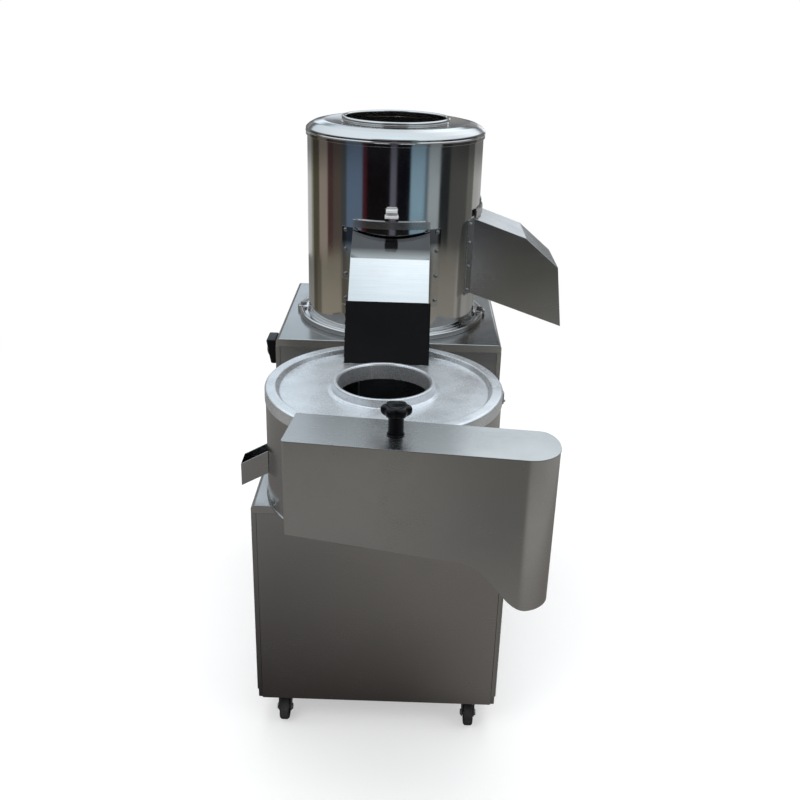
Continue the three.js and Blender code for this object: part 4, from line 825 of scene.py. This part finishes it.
piece("rubberCurtain", [curtainMesh(curtain)], "sheetRubber", "curtain")

# Pipes at the back: hose tail for clean water, drain stub for waste
toBack = rotated(-90, "X")
pipes = {"wall": 178.2, "inletHeight": 1000, "drainHeight": 704, "segments": 64}
barbs = [corner for start in (21, 28, 35)
         for corner in ((8, start, 0.3), (9.6, start + 1.4, 0.5), (8.2, start + 6.4, 0.3))]
inletCorners = [(5.5, 0, 0.2), (15, 0, 0.5), (15, 3, 0.8), (9.5, 3.4, 1.2), (8, 8, 1), *barbs, (8, 42, 0.8),
                (5.5, 42, 0.4)]
drainCorners = [(11.5, 0, 0.2), (15, 0, 0.5), (15, 2.6, 0.8), (13, 4, 0.8), (13, 32, 0.5), (14.2, 34, 0.9),
                (13.4, 36, 0.5), (11.5, 36, 0.3)]


def pipeMesh(corners, height):
    outward = [(radius, pipes["wall"] + reach, edge) for radius, reach, edge in corners]
    return turned(outward, upright(machine["washAxis"], height) @ toBack, pipes["segments"])


piece("waterInlet", [pipeMesh(inletCorners, pipes["inletHeight"])], "zinc")
piece("drainPipe", [pipeMesh(drainCorners, pipes["drainHeight"])], "satinAcross")
print("outlets and pipes made")

# Slicing unit: drum, cast lid and impeller
slicer = {"outer": 202.5, "inner": 200.5, "low": 484.3, "high": 672, "segments": 256,
          "openings": [(186, 195.8, 537, 573), (288, 312, 548, 662)]}
slicerFloor = [(12.5, 531, 0.5), (200.7, 531, 0), (200.7, 534, 0), (12.5, 534, 0.5)]
slicerFoot = [(202.4, 484.3, 0), (205, 484.3, 0.5), (205, 486.6, 1), (202.4, 489, 0.5)]
slicerLidCorners = [
    (80, 664, 1), (87, 664, 1), (96, 672.4, 2), (202.8, 672.4, 0.2), (202.8, 666, 0.2), (204, 666, 0.5),
    (204, 685.6, 2.8), (201.4, 688, 2.4), (185, 688, 2.6), (180.4, 678.6, 3.6), (97, 678, 8), (88.6, 679.2, 3),
    (87.8, 691.6, 1.5), (86.8, 694, 1.8), (81.6, 694, 2), (80, 690.5, 1.6),
]
impellerCorners = [(0.5, 536, 0), (26, 536, 0.8), (26, 540, 0.8), (190, 540, 0.6), (190, 546, 1.2), (54, 546, 8),
                   (26, 570, 6), (0.5, 570, 0)]
paddle = {"low": (96, -2, 545), "high": (190, 2, 655), "edge": 1.2, "angles": (0, 120, 240)}
catchScrew = {**screw, "Head Radius": 2.6, "Washer Radius": 3.2}
piece("slicerDrum", [shellMesh(slicer, slicerPlace), turned(slicerFloor, slicerPlace, 128),
                     turned(slicerFoot, slicerPlace, 256)], "satinAcross")
piece("slicerLid", [turned(slicerLidCorners, slicerPlace, 256, 6)], "cast")
paddles = [boxMesh(paddle["low"], paddle["high"], paddle["edge"], slicerPlace @ rotated(degrees))
           for degrees in paddle["angles"]]
piece("slicerImpeller", [solidTurned(impellerCorners, slicerPlace, 128), *paddles], "stainedCast", "slicer_rotor")
rowPiece("catchScrew", "bolts", [(206.9, 0, 663)], [(1, 0, 0)], "zinc", catchScrew, slicerPlace)

# Clamp post: a pillar in front of the drum, welded on by a short arm
post = {"angle": -83.3, "reach": 213, "radius": 8.5, "top": 688.7, "bottom": 600.7, "armTop": 646.7, "armHalf": 6,
        "armStart": 202.7}
postPlace = slicerPlace @ Matrix.Translation(polar(post["reach"], post["angle"]))
bottom, top, half = post["bottom"], post["top"], post["armHalf"]
pillarCorners = [(0.5, bottom, 0), (post["radius"], bottom, 1.2), (post["radius"], top, 1), (0.5, top, 0)]
pillar = solidTurned(pillarCorners, postPlace, 48)
arm = boxMesh((post["armStart"], -half, bottom), (post["reach"], half, post["armTop"]), 1,
              slicerPlace @ rotated(post["angle"]))
piece("clampPost", [pillar, arm], "satinAcross")

# Discharge cover: a plate with a rounded right end and a skirt whose lower edge sweeps down to the right
cover = {"turn": -6.1, "left": 146, "front": -247.6, "width": 106, "length": 415.5, "frontRound": 50,
         "backRound": 33, "top": 691, "plate": 2, "plateEdge": 0.35, "overhang": 0.8, "sheet": 1.5, "clear": 206,
         "corner": 5, "leftDrop": 160, "midDrop": 182.5, "rightDrop": 261, "sweepStart": 265, "sweepEnd": 385,
         "sweepShares": (0.55, 0.4), "spacing": 3}
coverPlace = slicerPlace @ Matrix.Translation((-cover["left"], cover["front"], 0)) @ rotated(cover["turn"])


def coverOutline(values, inset=0):
    near = values["frontRound"]
    frontMiddle, backMiddle = values["length"] - near, values["length"] - values["backRound"]
    reach, side = values["backRound"] - inset, values["width"] - near - inset
    end = [(frontMiddle + x, near + y, 0) for x, y in arc(near - inset, -90, 0, 30)]
    end += [(backMiddle + reach * x, near + side * y, 0) for x, y in arc(1, 3, 90, 29)]
    return rounded([(inset, values["width"] - inset, 1.5), (inset, inset, values["corner"]), *end], 5)


# How far the skirt hangs down at a place along the cover
def sweepDrop(x, values):
    start, end, middle, right = (values[key] for key in ("sweepStart", "sweepEnd", "midDrop", "rightDrop"))
    if x <= start:
        return values["leftDrop"] + (middle - values["leftDrop"]) * x / start
    if x >= end:
        return right
    startShare, endShare = values["sweepShares"]
    line = [(start, middle), (start + (end - start) * startShare, middle), (end - (end - start) * endShare, right),
            (end, right)]
    low, high = 0.0, 1.0
    for _ in range(40):
        t = (low + high) / 2
        weights = ((1 - t) ** 3, 3 * t * (1 - t) ** 2, 3 * t * t * (1 - t), t ** 3)
        at = sum(w * p[0] for w, p in zip(weights, line))
        low, high = (t, high) if at < x else (low, t)
    return sum(w * p[1] for w, p in zip(weights, line))


def skirtMesh(values):
    outline = coverOutline(values, values["overhang"])
    dense = []
    for point, after in zip(outline, outline[1:] + outline[:1]):
        count = max(1, round((after - point).length / values["spacing"]))
        dense.extend(point.lerp(after, k / count) for k in range(count))
    inner = offsetOutline(dense, values["sheet"])
    axis = Vector((*machine["slicerAxis"], 0))
    free = [((coverPlace @ p.to_3d()) - axis).length > values["clear"] for p in dense]
    start = next(i for i in range(len(free)) if free[i] and not free[i - 1])
    run = []
    while free[(start + len(run)) % len(free)] and len(run) < len(free):
        run.append((start + len(run)) % len(free))
    points, faces = [], []
    for p in (p for i in run for p in (dense[i], inner[i])):
        drop = sweepDrop(max(0, min(p.x, values["length"])), values)
        points += [(p.x, p.y, values["top"] - drop), (p.x, p.y, values["top"] - values["plate"] / 2)]
    for a in range(0, 4 * len(run) - 4, 4):
        b = a + 4
        faces += [(a, b, b + 1, a + 1), (a + 3, b + 3, b + 2, a + 2), (a + 1, b + 1, b + 3, a + 3),
                  (a + 2, b + 2, b, a)]
    last = 4 * len(run) - 4
    faces += [(0, 1, 3, 2), (last, last + 2, last + 3, last + 1)]
    return placedMesh(points, faces, coverPlace)


topPlate = plateMesh(coverOutline(cover), cover["top"] - cover["plate"], cover["top"], cover["plateEdge"],
                     coverPlace)
piece("dischargeCover", [topPlate, skirtMesh(cover)], "satinAcross", "cover")

# Star knob on its stud; the rings are height over the stem, radius and depth of the lobes
knob = {"lobes": 6, "segments": 144, "headLow": 722, "flatten": 0.25, "rings": [
    (-30.7, 13.4, 0), (-29.4, 13.8, 0), (-27.5, 12.6, 0), (-24, 12.2, 0), (-3, 12, 0), (0, 12.6, 0),
    (0.9, 14.8, 0.2), (2.2, 18.4, 1), (4, 20.6, 2), (6.5, 21.7, 2.6), (10, 22, 2.8), (13.2, 21.8, 2.7),
    (15.2, 20.9, 2.3), (16.4, 19.4, 1.6), (17.1, 17.2, 0.9), (17.3, 14, 0.3), (17.2, 11.6, 0), (16.6, 9.4, 0),
    (16.5, 0.6, 0)]}
studCorners = [(0.4, 638, 0), (4.9, 638, 1), (4.9, 692.5, 0), (0.4, 692.5, 0)]


def knobMesh(values, place):
    count = values["segments"]
    lobes = [math.cos(2 * math.pi * values["lobes"] * i / count) for i in range(count)]
    shares = [lobe if lobe < 0 else lobe * (1 - values["flatten"] * lobe) for lobe in lobes]
    return ringsMesh([[polar(radius + depth * share, 360 * i / count, values["headLow"] + height)
                       for i, share in enumerate(shares)] for height, radius, depth in values["rings"]], place)


piece("clampKnob", [knobMesh(knob, postPlace)], "glossBlack", "knob")
piece("knobStud", [solidTurned(studCorners, postPlace, 40)], "zinc", "knob", ())
print("slicing unit made")

# Switch: two caps in bezels on the housing's slanting face
switch = {"slant": math.atan2(9, 50), "faceReach": 2.85}
capCorners = [(0.3, -8.7, 0), (8.5, -8.7, 3.6), (8.5, 2.2, 1.6), (6.4, 3, 1.4), (5.6, 2.2, 1), (0.3, 2, 0)]
bezelCorners = [(9, 0, 0.2), (11, 0, 0.4), (10.6, 1.7, 0.8), (9.2, 1.7, 0.5)]
outward = Vector((-math.cos(switch["slant"]), 0, -math.sin(switch["slant"])))
aim = Vector((0, 0, 1)).rotation_difference(outward).to_matrix().to_4x4()
bezels = []
for body, finish in (("start", "greenCap"), ("stop", "redCap")):
    low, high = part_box(body + "_button")
    place = Matrix.Translation(toFrame.inverted() @ ((low + high) / 2) + outward * switch["faceReach"]) @ aim
    piece(body + "Button", [solidTurned(capCorners, place, 64)], finish, body)
    bezels.append(turned(bezelCorners, place, 64))
piece("switchBezels", bezels, "zinc", nodes=())

# Cable gland: nut, dome and the thread through the panel, each with the number of its sides
gland = {"place": (-150, 745, 165), "forms": [
    (6, [(4, 0.3, 0.2), (12.4, 0.3, 0.6), (12.4, 8, 1), (4, 8, 0.2)]),
    (48, [(4, 8, 0.2), (9.6, 8, 0.4), (9.6, 12, 1), (8.4, 19.6, 1.6), (4, 20, 1)]),
    (48, [(4, -14, 0.4), (8, -14, 0.6), (8, 0.4, 0), (4, 0.4, 0)])]}
glandPlace = Matrix.Translation(gland["place"]) @ toBack
piece("cableGland", [turned(corners, glandPlace, sides) for sides, corners in gland["forms"]], "mouldedBlack")

# Casters: bent fork under a swivel race, tyre on a hub
caster = {"inset": 48, "side": 177, "trail": 18, "wheelZ": 25, "tyre": 24.78, "half": 8.85}
raceCorners = [(10, 61.5, 0.5), (18, 61.5, 2), (18.6, 64.4, 1.4), (19, 68.6, 0.6), (10, 68.6, 0.3)]


# Both halves of a wheel's section from one: radius, distance in from its side, rounding
def wheelCorners(half, corners):
    return [(r, inset - half, edge) for r, inset, edge in corners] + [
        (r, half - inset, edge) for r, inset, edge in reversed(corners)]


tyreCorners = wheelCorners(caster["half"], [(14.5, 1.2, 0.6), (22, 0, 1.4), (caster["tyre"], 3, 3.2)])
hubCorners = wheelCorners(caster["half"], [(3.8, 0.6, 0.4), (6.5, 0.6, 0.8), (8, 3.4, 1), (15, 3, 0.5)])
for end, y in (("front", caster["inset"]), ("rear", machine["depth"] - caster["inset"])):
    for side, x in (("left", -caster["side"]), ("right", caster["side"])):
        tag, corner = end.title() + side.title(), f"{end}_{side}"
        race = turned(raceCorners, upright((x, y)), 64)
        piece("casterFork" + tag, [roundedCopy("caster_fork_" + corner, 0.9), race], "zinc", "fork_" + corner)
        wheelPlace = upright((x, y - caster["trail"]), caster["wheelZ"]) @ rotated(90, "Y")
        piece("casterTyre" + tag, [turned(tyreCorners, wheelPlace, 96)], "tyreRubber", "wheel_" + corner,
              ["caster_wheel_" + corner])
        piece("casterHub" + tag, [turned(hubCorners, wheelPlace, 64)], "hubPlastic", "wheel_" + corner, ())
print("casters made")

# Drive inside the cabinet: CAD nodes that stay as they are and take a finish
carried = {
    "zinc": ("motor_shelf", "motor_shaft", "wash_shaft", "slicer_shaft"),
    "ironEnamel": ("motor_housing", "wash_bearing_housing", "slicer_bearing_housing"),
    "turnedIron": ("motor_pulley", "wash_pulley", "slicer_pulley"), "sheetRubber": ("wash_belt", "slicer_belt"),
}
for finish, names in carried.items():
    for name in names:
        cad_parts[name].material_slots[0].material = finishes[finish]
print("drive dressed")

# Studio: pale floor, white surroundings, soft lamps, and cards that only the metal sees
studio = {
    "worldTone": (0.97, 0.985, 1), "worldLight": 0.72, "floorTone": (0.6, 0.6, 0.6), "floorGlow": 0.42,
    "floorHalf": 9, "floorFade": (1.1, 2.4), "lampAim": (0, 0, 0.5),
    "lamps": [("keyLamp", (-1.7, -2.2, 2.7), 1.5, 26), ("fillLamp", (2.3, -1.4, 1.9), 1.6, 12),
              ("topLamp", (0, 0.2, 3.1), 2.2, 46)],
}


def emission(tree, inputs):
    return first(tree, "ShaderNodeEmission", inputs)


def shaderMix(tree, share, one, other):
    return first(tree, "ShaderNodeMixShader", {0: share, 1: one, 2: other})


def squareMesh(half, height=0):
    return newMesh([(x * half, y * half, height) for x, y in ((-1, -1), (1, -1), (1, 1), (-1, 1))], [(0, 1, 2, 3)])


def shownRays(tree):
    path = node(tree, "ShaderNodeLightPath").outputs
    seen = math2(tree, "ADD", path["Is Camera Ray"], path["Is Glossy Ray"], True)
    return math2(tree, "ADD", seen, path["Is Transmission Ray"], True)


def addWorld(values):
    scene.world = bpy.data.worlds.new("studioWorld")
    scene.world.use_nodes = True
    tree = scene.world.node_tree
    tree.nodes.clear()
    light, white = (first(tree, "ShaderNodeBackground", {"Color": rgb(tone), "Strength": strength})
                    for tone, strength in ((values["worldTone"], values["worldLight"]), ((1, 1, 1), 1)))
    output(tree, shaderMix(tree, shownRays(tree), light, white), "ShaderNodeOutputWorld")


def addFloor(values):
    material, tree = newMaterial("paleFloor")
    far = ranged(tree, lengthOf(tree, objectPlace(tree)), 0, 1, *values["floorFade"])
    ground = first(tree, "ShaderNodeBsdfDiffuse", {"Color": rgb(values["floorTone"])})
    glow = emission(tree, {"Strength": math2(tree, "MULTIPLY", shownRays(tree), values["floorGlow"])})
    near = first(tree, "ShaderNodeAddShader", {0: ground, 1: glow})
    output(tree, shaderMix(tree, far, near, emission(tree, {"Strength": shownRays(tree)})))
    mesh = squareMesh(values["floorHalf"])
    mesh.materials.append(material)
    addObject("floor", mesh)


def addLamp(name, place, size, power):
    data = bpy.data.lights.new(name, "AREA")
    data.size, data.energy = size, power
    lamp = addObject(name, data)
    lamp.visible_glossy = False
    lamp.location = place
    lamp.rotation_mode = "QUATERNION"
    lamp.rotation_quaternion = (Vector(studio["lampAim"]) - Vector(place)).to_track_quat("-Z", "Y")


# A card that shines with a tone and is seen by the metal alone
def glowingCard(name, tree, material, tone, mesh):
    output(tree, emission(tree, {"Color": tone}))
    mesh.materials.append(material)
    card = addObject(name, mesh)
    for rays in ("camera", "diffuse", "shadow", "transmission"):
        setattr(card, "visible_" + rays, False)


# Tones that stand round the machine, by angle from the front (to the right is positive)
yard = {
    "radius": 3.4, "height": 0.85, "segments": 120, "edge": 0.9, "shadeFrom": (0.42, 0.56), "shade": 0.6,
    "shadeTone": (0.01, 0.01, 0.012),
    "tones": [
        (-180, (0.36, 0.39, 0.43)), (-172, (0.55, 0.56, 0.56)), (-139, (0.3, 0.29, 0.23)),
        (-133, (0.093, 0.083, 0.055)), (-116, (0.315, 0.27, 0.23)), (-98, (0.073, 0.037, 0.037)),
        (-88, (0.094, 0.075, 0.064)), (-74, (0.06, 0.07, 0.075)), (-66, (0.12, 0.175, 0.26)),
        (-43, (0.06, 0.01, 0.016)), (-37, (0.005, 0.004, 0.005)), (-5, (0.13, 0.13, 0.17)),
        (3, (0.004, 0.004, 0.007)), (22, (0.25, 0.39, 0.49)), (42, (0.13, 0.18, 0.22)), (47, (0.38, 0.436, 0.47)),
        (64, (0.021, 0.025, 0.027)), (80, (0.088, 0.088, 0.086)), (114, (0.16, 0.16, 0.15)),
        (129, (0.46, 0.46, 0.45)), (172, (0.36, 0.39, 0.43))],
}
# The ground before the machine: dark next to it, a painted shadow of the machine, then bands by distance, each
# with its own tones across, the nearest bands darker to the left (painted shadow); then tones by angle
groundCard = {
    "reach": 3.5, "height": 0.0005, "near": (0.02, 0.018, 0.017), "edge": 1.5,
    "bands": [
        (0.3, 0.42, [(-0.3, (0.03, 0.025, 0.024)), (0.0, (0.075, 0.067, 0.063)), (0.3, (0.22, 0.208, 0.19))]),
        (0.42, 0.75, [(-0.3, (0.11, 0.103, 0.1)), (0.0, (0.175, 0.165, 0.155)), (0.3, (0.19, 0.178, 0.165))]),
        (0.8, 1.1, [(-0.3, (0.205, 0.193, 0.187)), (0.0, (0.245, 0.231, 0.217)), (0.3, (0.235, 0.223, 0.209))]),
        (1.15, 1.35, [(-0.32, (0.25, 0.245, 0.235)), (-0.2, (0.235, 0.23, 0.22)), (-0.05, (0.15, 0.149, 0.145)),
                      (0.2, (0.125, 0.124, 0.12)), (0.3, (0.26, 0.255, 0.245)), (0.42, (0.36, 0.355, 0.34))]),
        (1.5, 1.8, [(-0.32, (0.26, 0.255, 0.248)), (-0.24, (0.23, 0.227, 0.22)), (-0.05, (0.15, 0.15, 0.146)),
                    (0.2, (0.14, 0.14, 0.136)), (0.3, (0.24, 0.235, 0.225)), (0.42, (0.34, 0.335, 0.32))])],
    "outer": (1.9, 2.15), "far": (2.6, 3.3), "farShare": 0.9, "behindShare": 0.25, "behind": (30, 60),
    "sides": [
        (-180, (0.24, 0.24, 0.23)), (-139, (0.28, 0.27, 0.25)), (-133, (0.095, 0.085, 0.065)),
        (-122, (0.14, 0.13, 0.1)), (-112, (0.29, 0.265, 0.21)), (-74, (0.12, 0.11, 0.09)),
        (-64, (0.15, 0.145, 0.11)), (50, (0.1, 0.095, 0.09)), (56, (0.26, 0.25, 0.22)), (100, (0.34, 0.33, 0.31)),
        (106, (0.17, 0.165, 0.15)), (114, (0.33, 0.32, 0.31)), (129, (0.28, 0.28, 0.27)),
        (150, (0.22, 0.23, 0.22))],
}
# Open sky over the yard: tone by height, then soft patches (angle from the front, height, reach, softness, tone)
sky = {
    "radius": 5.6,
    "tones": [
        (0, (0.12, 0.13, 0.15)), (12, (0.12, 0.13, 0.15)), (22, (0.34, 0.33, 0.32)), (24.5, (0.1, 0.1, 0.11)),
        (28, (0.25, 0.31, 0.35)), (30, (0.8, 0.93, 1.02)), (50, (1.05, 1.15, 1.25)), (90, (1.12, 1.34, 1.46))],
    "patches": [
        (150, 42, 13, 8, (1.35, 1.46, 1.56)), (0, 43, 25, 2, (0.2, 0.2, 0.21)), (0, 79, 6, 1.5, (1.5, 1.68, 1.82)),
        (170, 36, 6, 3, (1.4, 1.56, 1.66)), (165, 13, 6.6, 3, (1.17, 1.28, 1.38)),
        (-171, 22.5, 4.5, 2, (1.1, 1.25, 1.4)), (-171, 28, 3, 1.8, (0.25, 0.31, 0.34))],
}


# A colour ramp through a table of (position, tone), its positions from low to high
def rampOf(tree, value, table, low, high):
    ramp = node(tree, "ShaderNodeValToRGB", {0: ranged(tree, value, 0, 1, low, high)})
    stops = ramp.color_ramp.elements
    while len(stops) < len(table):
        stops.new(0.5)
    for stop, (at, tone) in zip(stops, table):
        stop.position = (at - low) / (high - low)
        stop.color = rgb(tone)
    return ramp.outputs[0]


def degreesOf(tree, angle):
    return math2(tree, "MULTIPLY", angle, 180 / math.pi)


# Angle round the machine in degrees, from the front, to the right is positive
def aroundOf(tree, axes):
    return degreesOf(tree, math2(tree, "ARCTAN2", axes[0], math2(tree, "MULTIPLY", axes[1], -1.0)))


def steppedTones(tree, angle, tones, edge):
    table = [(-180, tones[0][1])]
    for (_, before), (start, tone) in zip(tones, tones[1:]):
        table += [(start - edge, before), (start + edge, tone)]
    return rampOf(tree, angle, table, -180, 180)


# One ramp holds 32 stops, so the yard takes two
def addYard(values):
    material, tree = newMaterial("yardTones")
    axes = axesOf(tree, objectPlace(tree))
    tones, edge, count = values["tones"], values["edge"], values["segments"]
    half = len(tones) // 2
    around = aroundOf(tree, axes)
    left = steppedTones(tree, around, tones[:half + 1], edge)
    right = steppedTones(tree, around, [(-180, tones[half][1]), *tones[half + 1:]], edge)
    tone = mixed(tree, math2(tree, "GREATER_THAN", around, tones[half][0] + 2 * edge), left, right)
    shade = ranged(tree, axes[2], 0, values["shade"], *values["shadeFrom"])
    points = circle(values["radius"], 0, count) + circle(values["radius"], values["height"], count)
    faces = [(i, (i + 1) % count, count + (i + 1) % count, count + i) for i in range(count)]
    tone = mixed(tree, shade, tone, rgb(values["shadeTone"]))
    glowingCard("yardCard", tree, material, tone, newMesh(points, faces))


def addGround(values):
    material, tree = newMaterial("groundTone")
    plain = objectPlace(tree)
    away, axes = lengthOf(tree, plain), axesOf(tree, plain)
    # painted shadow: the ground starts from the dark tone next to the machine
    tone = rgb(values["near"])
    for start, end, tones in values["bands"]:
        band = rampOf(tree, axes[0], tones, tones[0][0], tones[-1][0])
        tone = mixed(tree, ranged(tree, away, 0, 1, start, end), tone, band)
    around = aroundOf(tree, axes)
    sides = steppedTones(tree, around, values["sides"], values["edge"])
    tone = mixed(tree, ranged(tree, away, 0, 1, *values["outer"]), tone, sides)
    ahead = ranged(tree, math2(tree, "ABSOLUTE", around, 0.0), 1, values["behindShare"], *values["behind"])
    fade = math2(tree, "MULTIPLY", ranged(tree, away, 0, values["farShare"], *values["far"]), ahead)
    glowingCard("groundCard", tree, material, mixed(tree, fade, tone, rgb(values["near"])),
                squareMesh(values["reach"], values["height"]))


def addSky(values):
    material, tree = newMaterial("skyTone")
    ahead = first(tree, "ShaderNodeVectorMath", {0: objectPlace(tree)}, operation="NORMALIZE")
    height = degreesOf(tree, math2(tree, "ARCSINE", axesOf(tree, ahead)[2], 0.0))
    tone = rampOf(tree, height, values["tones"], 0, 90)
    for angle, rise, reach, soft, patch in values["patches"]:
        turn, lift = math.radians(angle), math.radians(rise)
        middle = (math.sin(turn) * math.cos(lift), -math.cos(turn) * math.cos(lift), math.sin(lift))
        product = node(tree, "ShaderNodeVectorMath", {0: ahead, 1: middle}, operation="DOT_PRODUCT")
        off = degreesOf(tree, math2(tree, "ARCCOSINE", product.outputs["Value"], 0.0))
        tone = mixed(tree, ranged(tree, off, 1, 0, reach - soft, reach + soft), tone, rgb(patch))
    work = bmesh.new()
    bmesh.ops.create_uvsphere(work, u_segments=48, v_segments=32, radius=values["radius"])
    bmesh.ops.delete(work, geom=[vert for vert in work.verts if vert.co.z < -0.01], context="VERTS")
    glowingCard("skyCard", tree, material, tone, meshOf(work))


addWorld(studio)
addFloor(studio)
for lamp in studio["lamps"]:
    addLamp(*lamp)
addYard(yard)
addGround(groundCard)
addSky(sky)
scene.view_settings.view_transform = "Standard"
print("studio made")
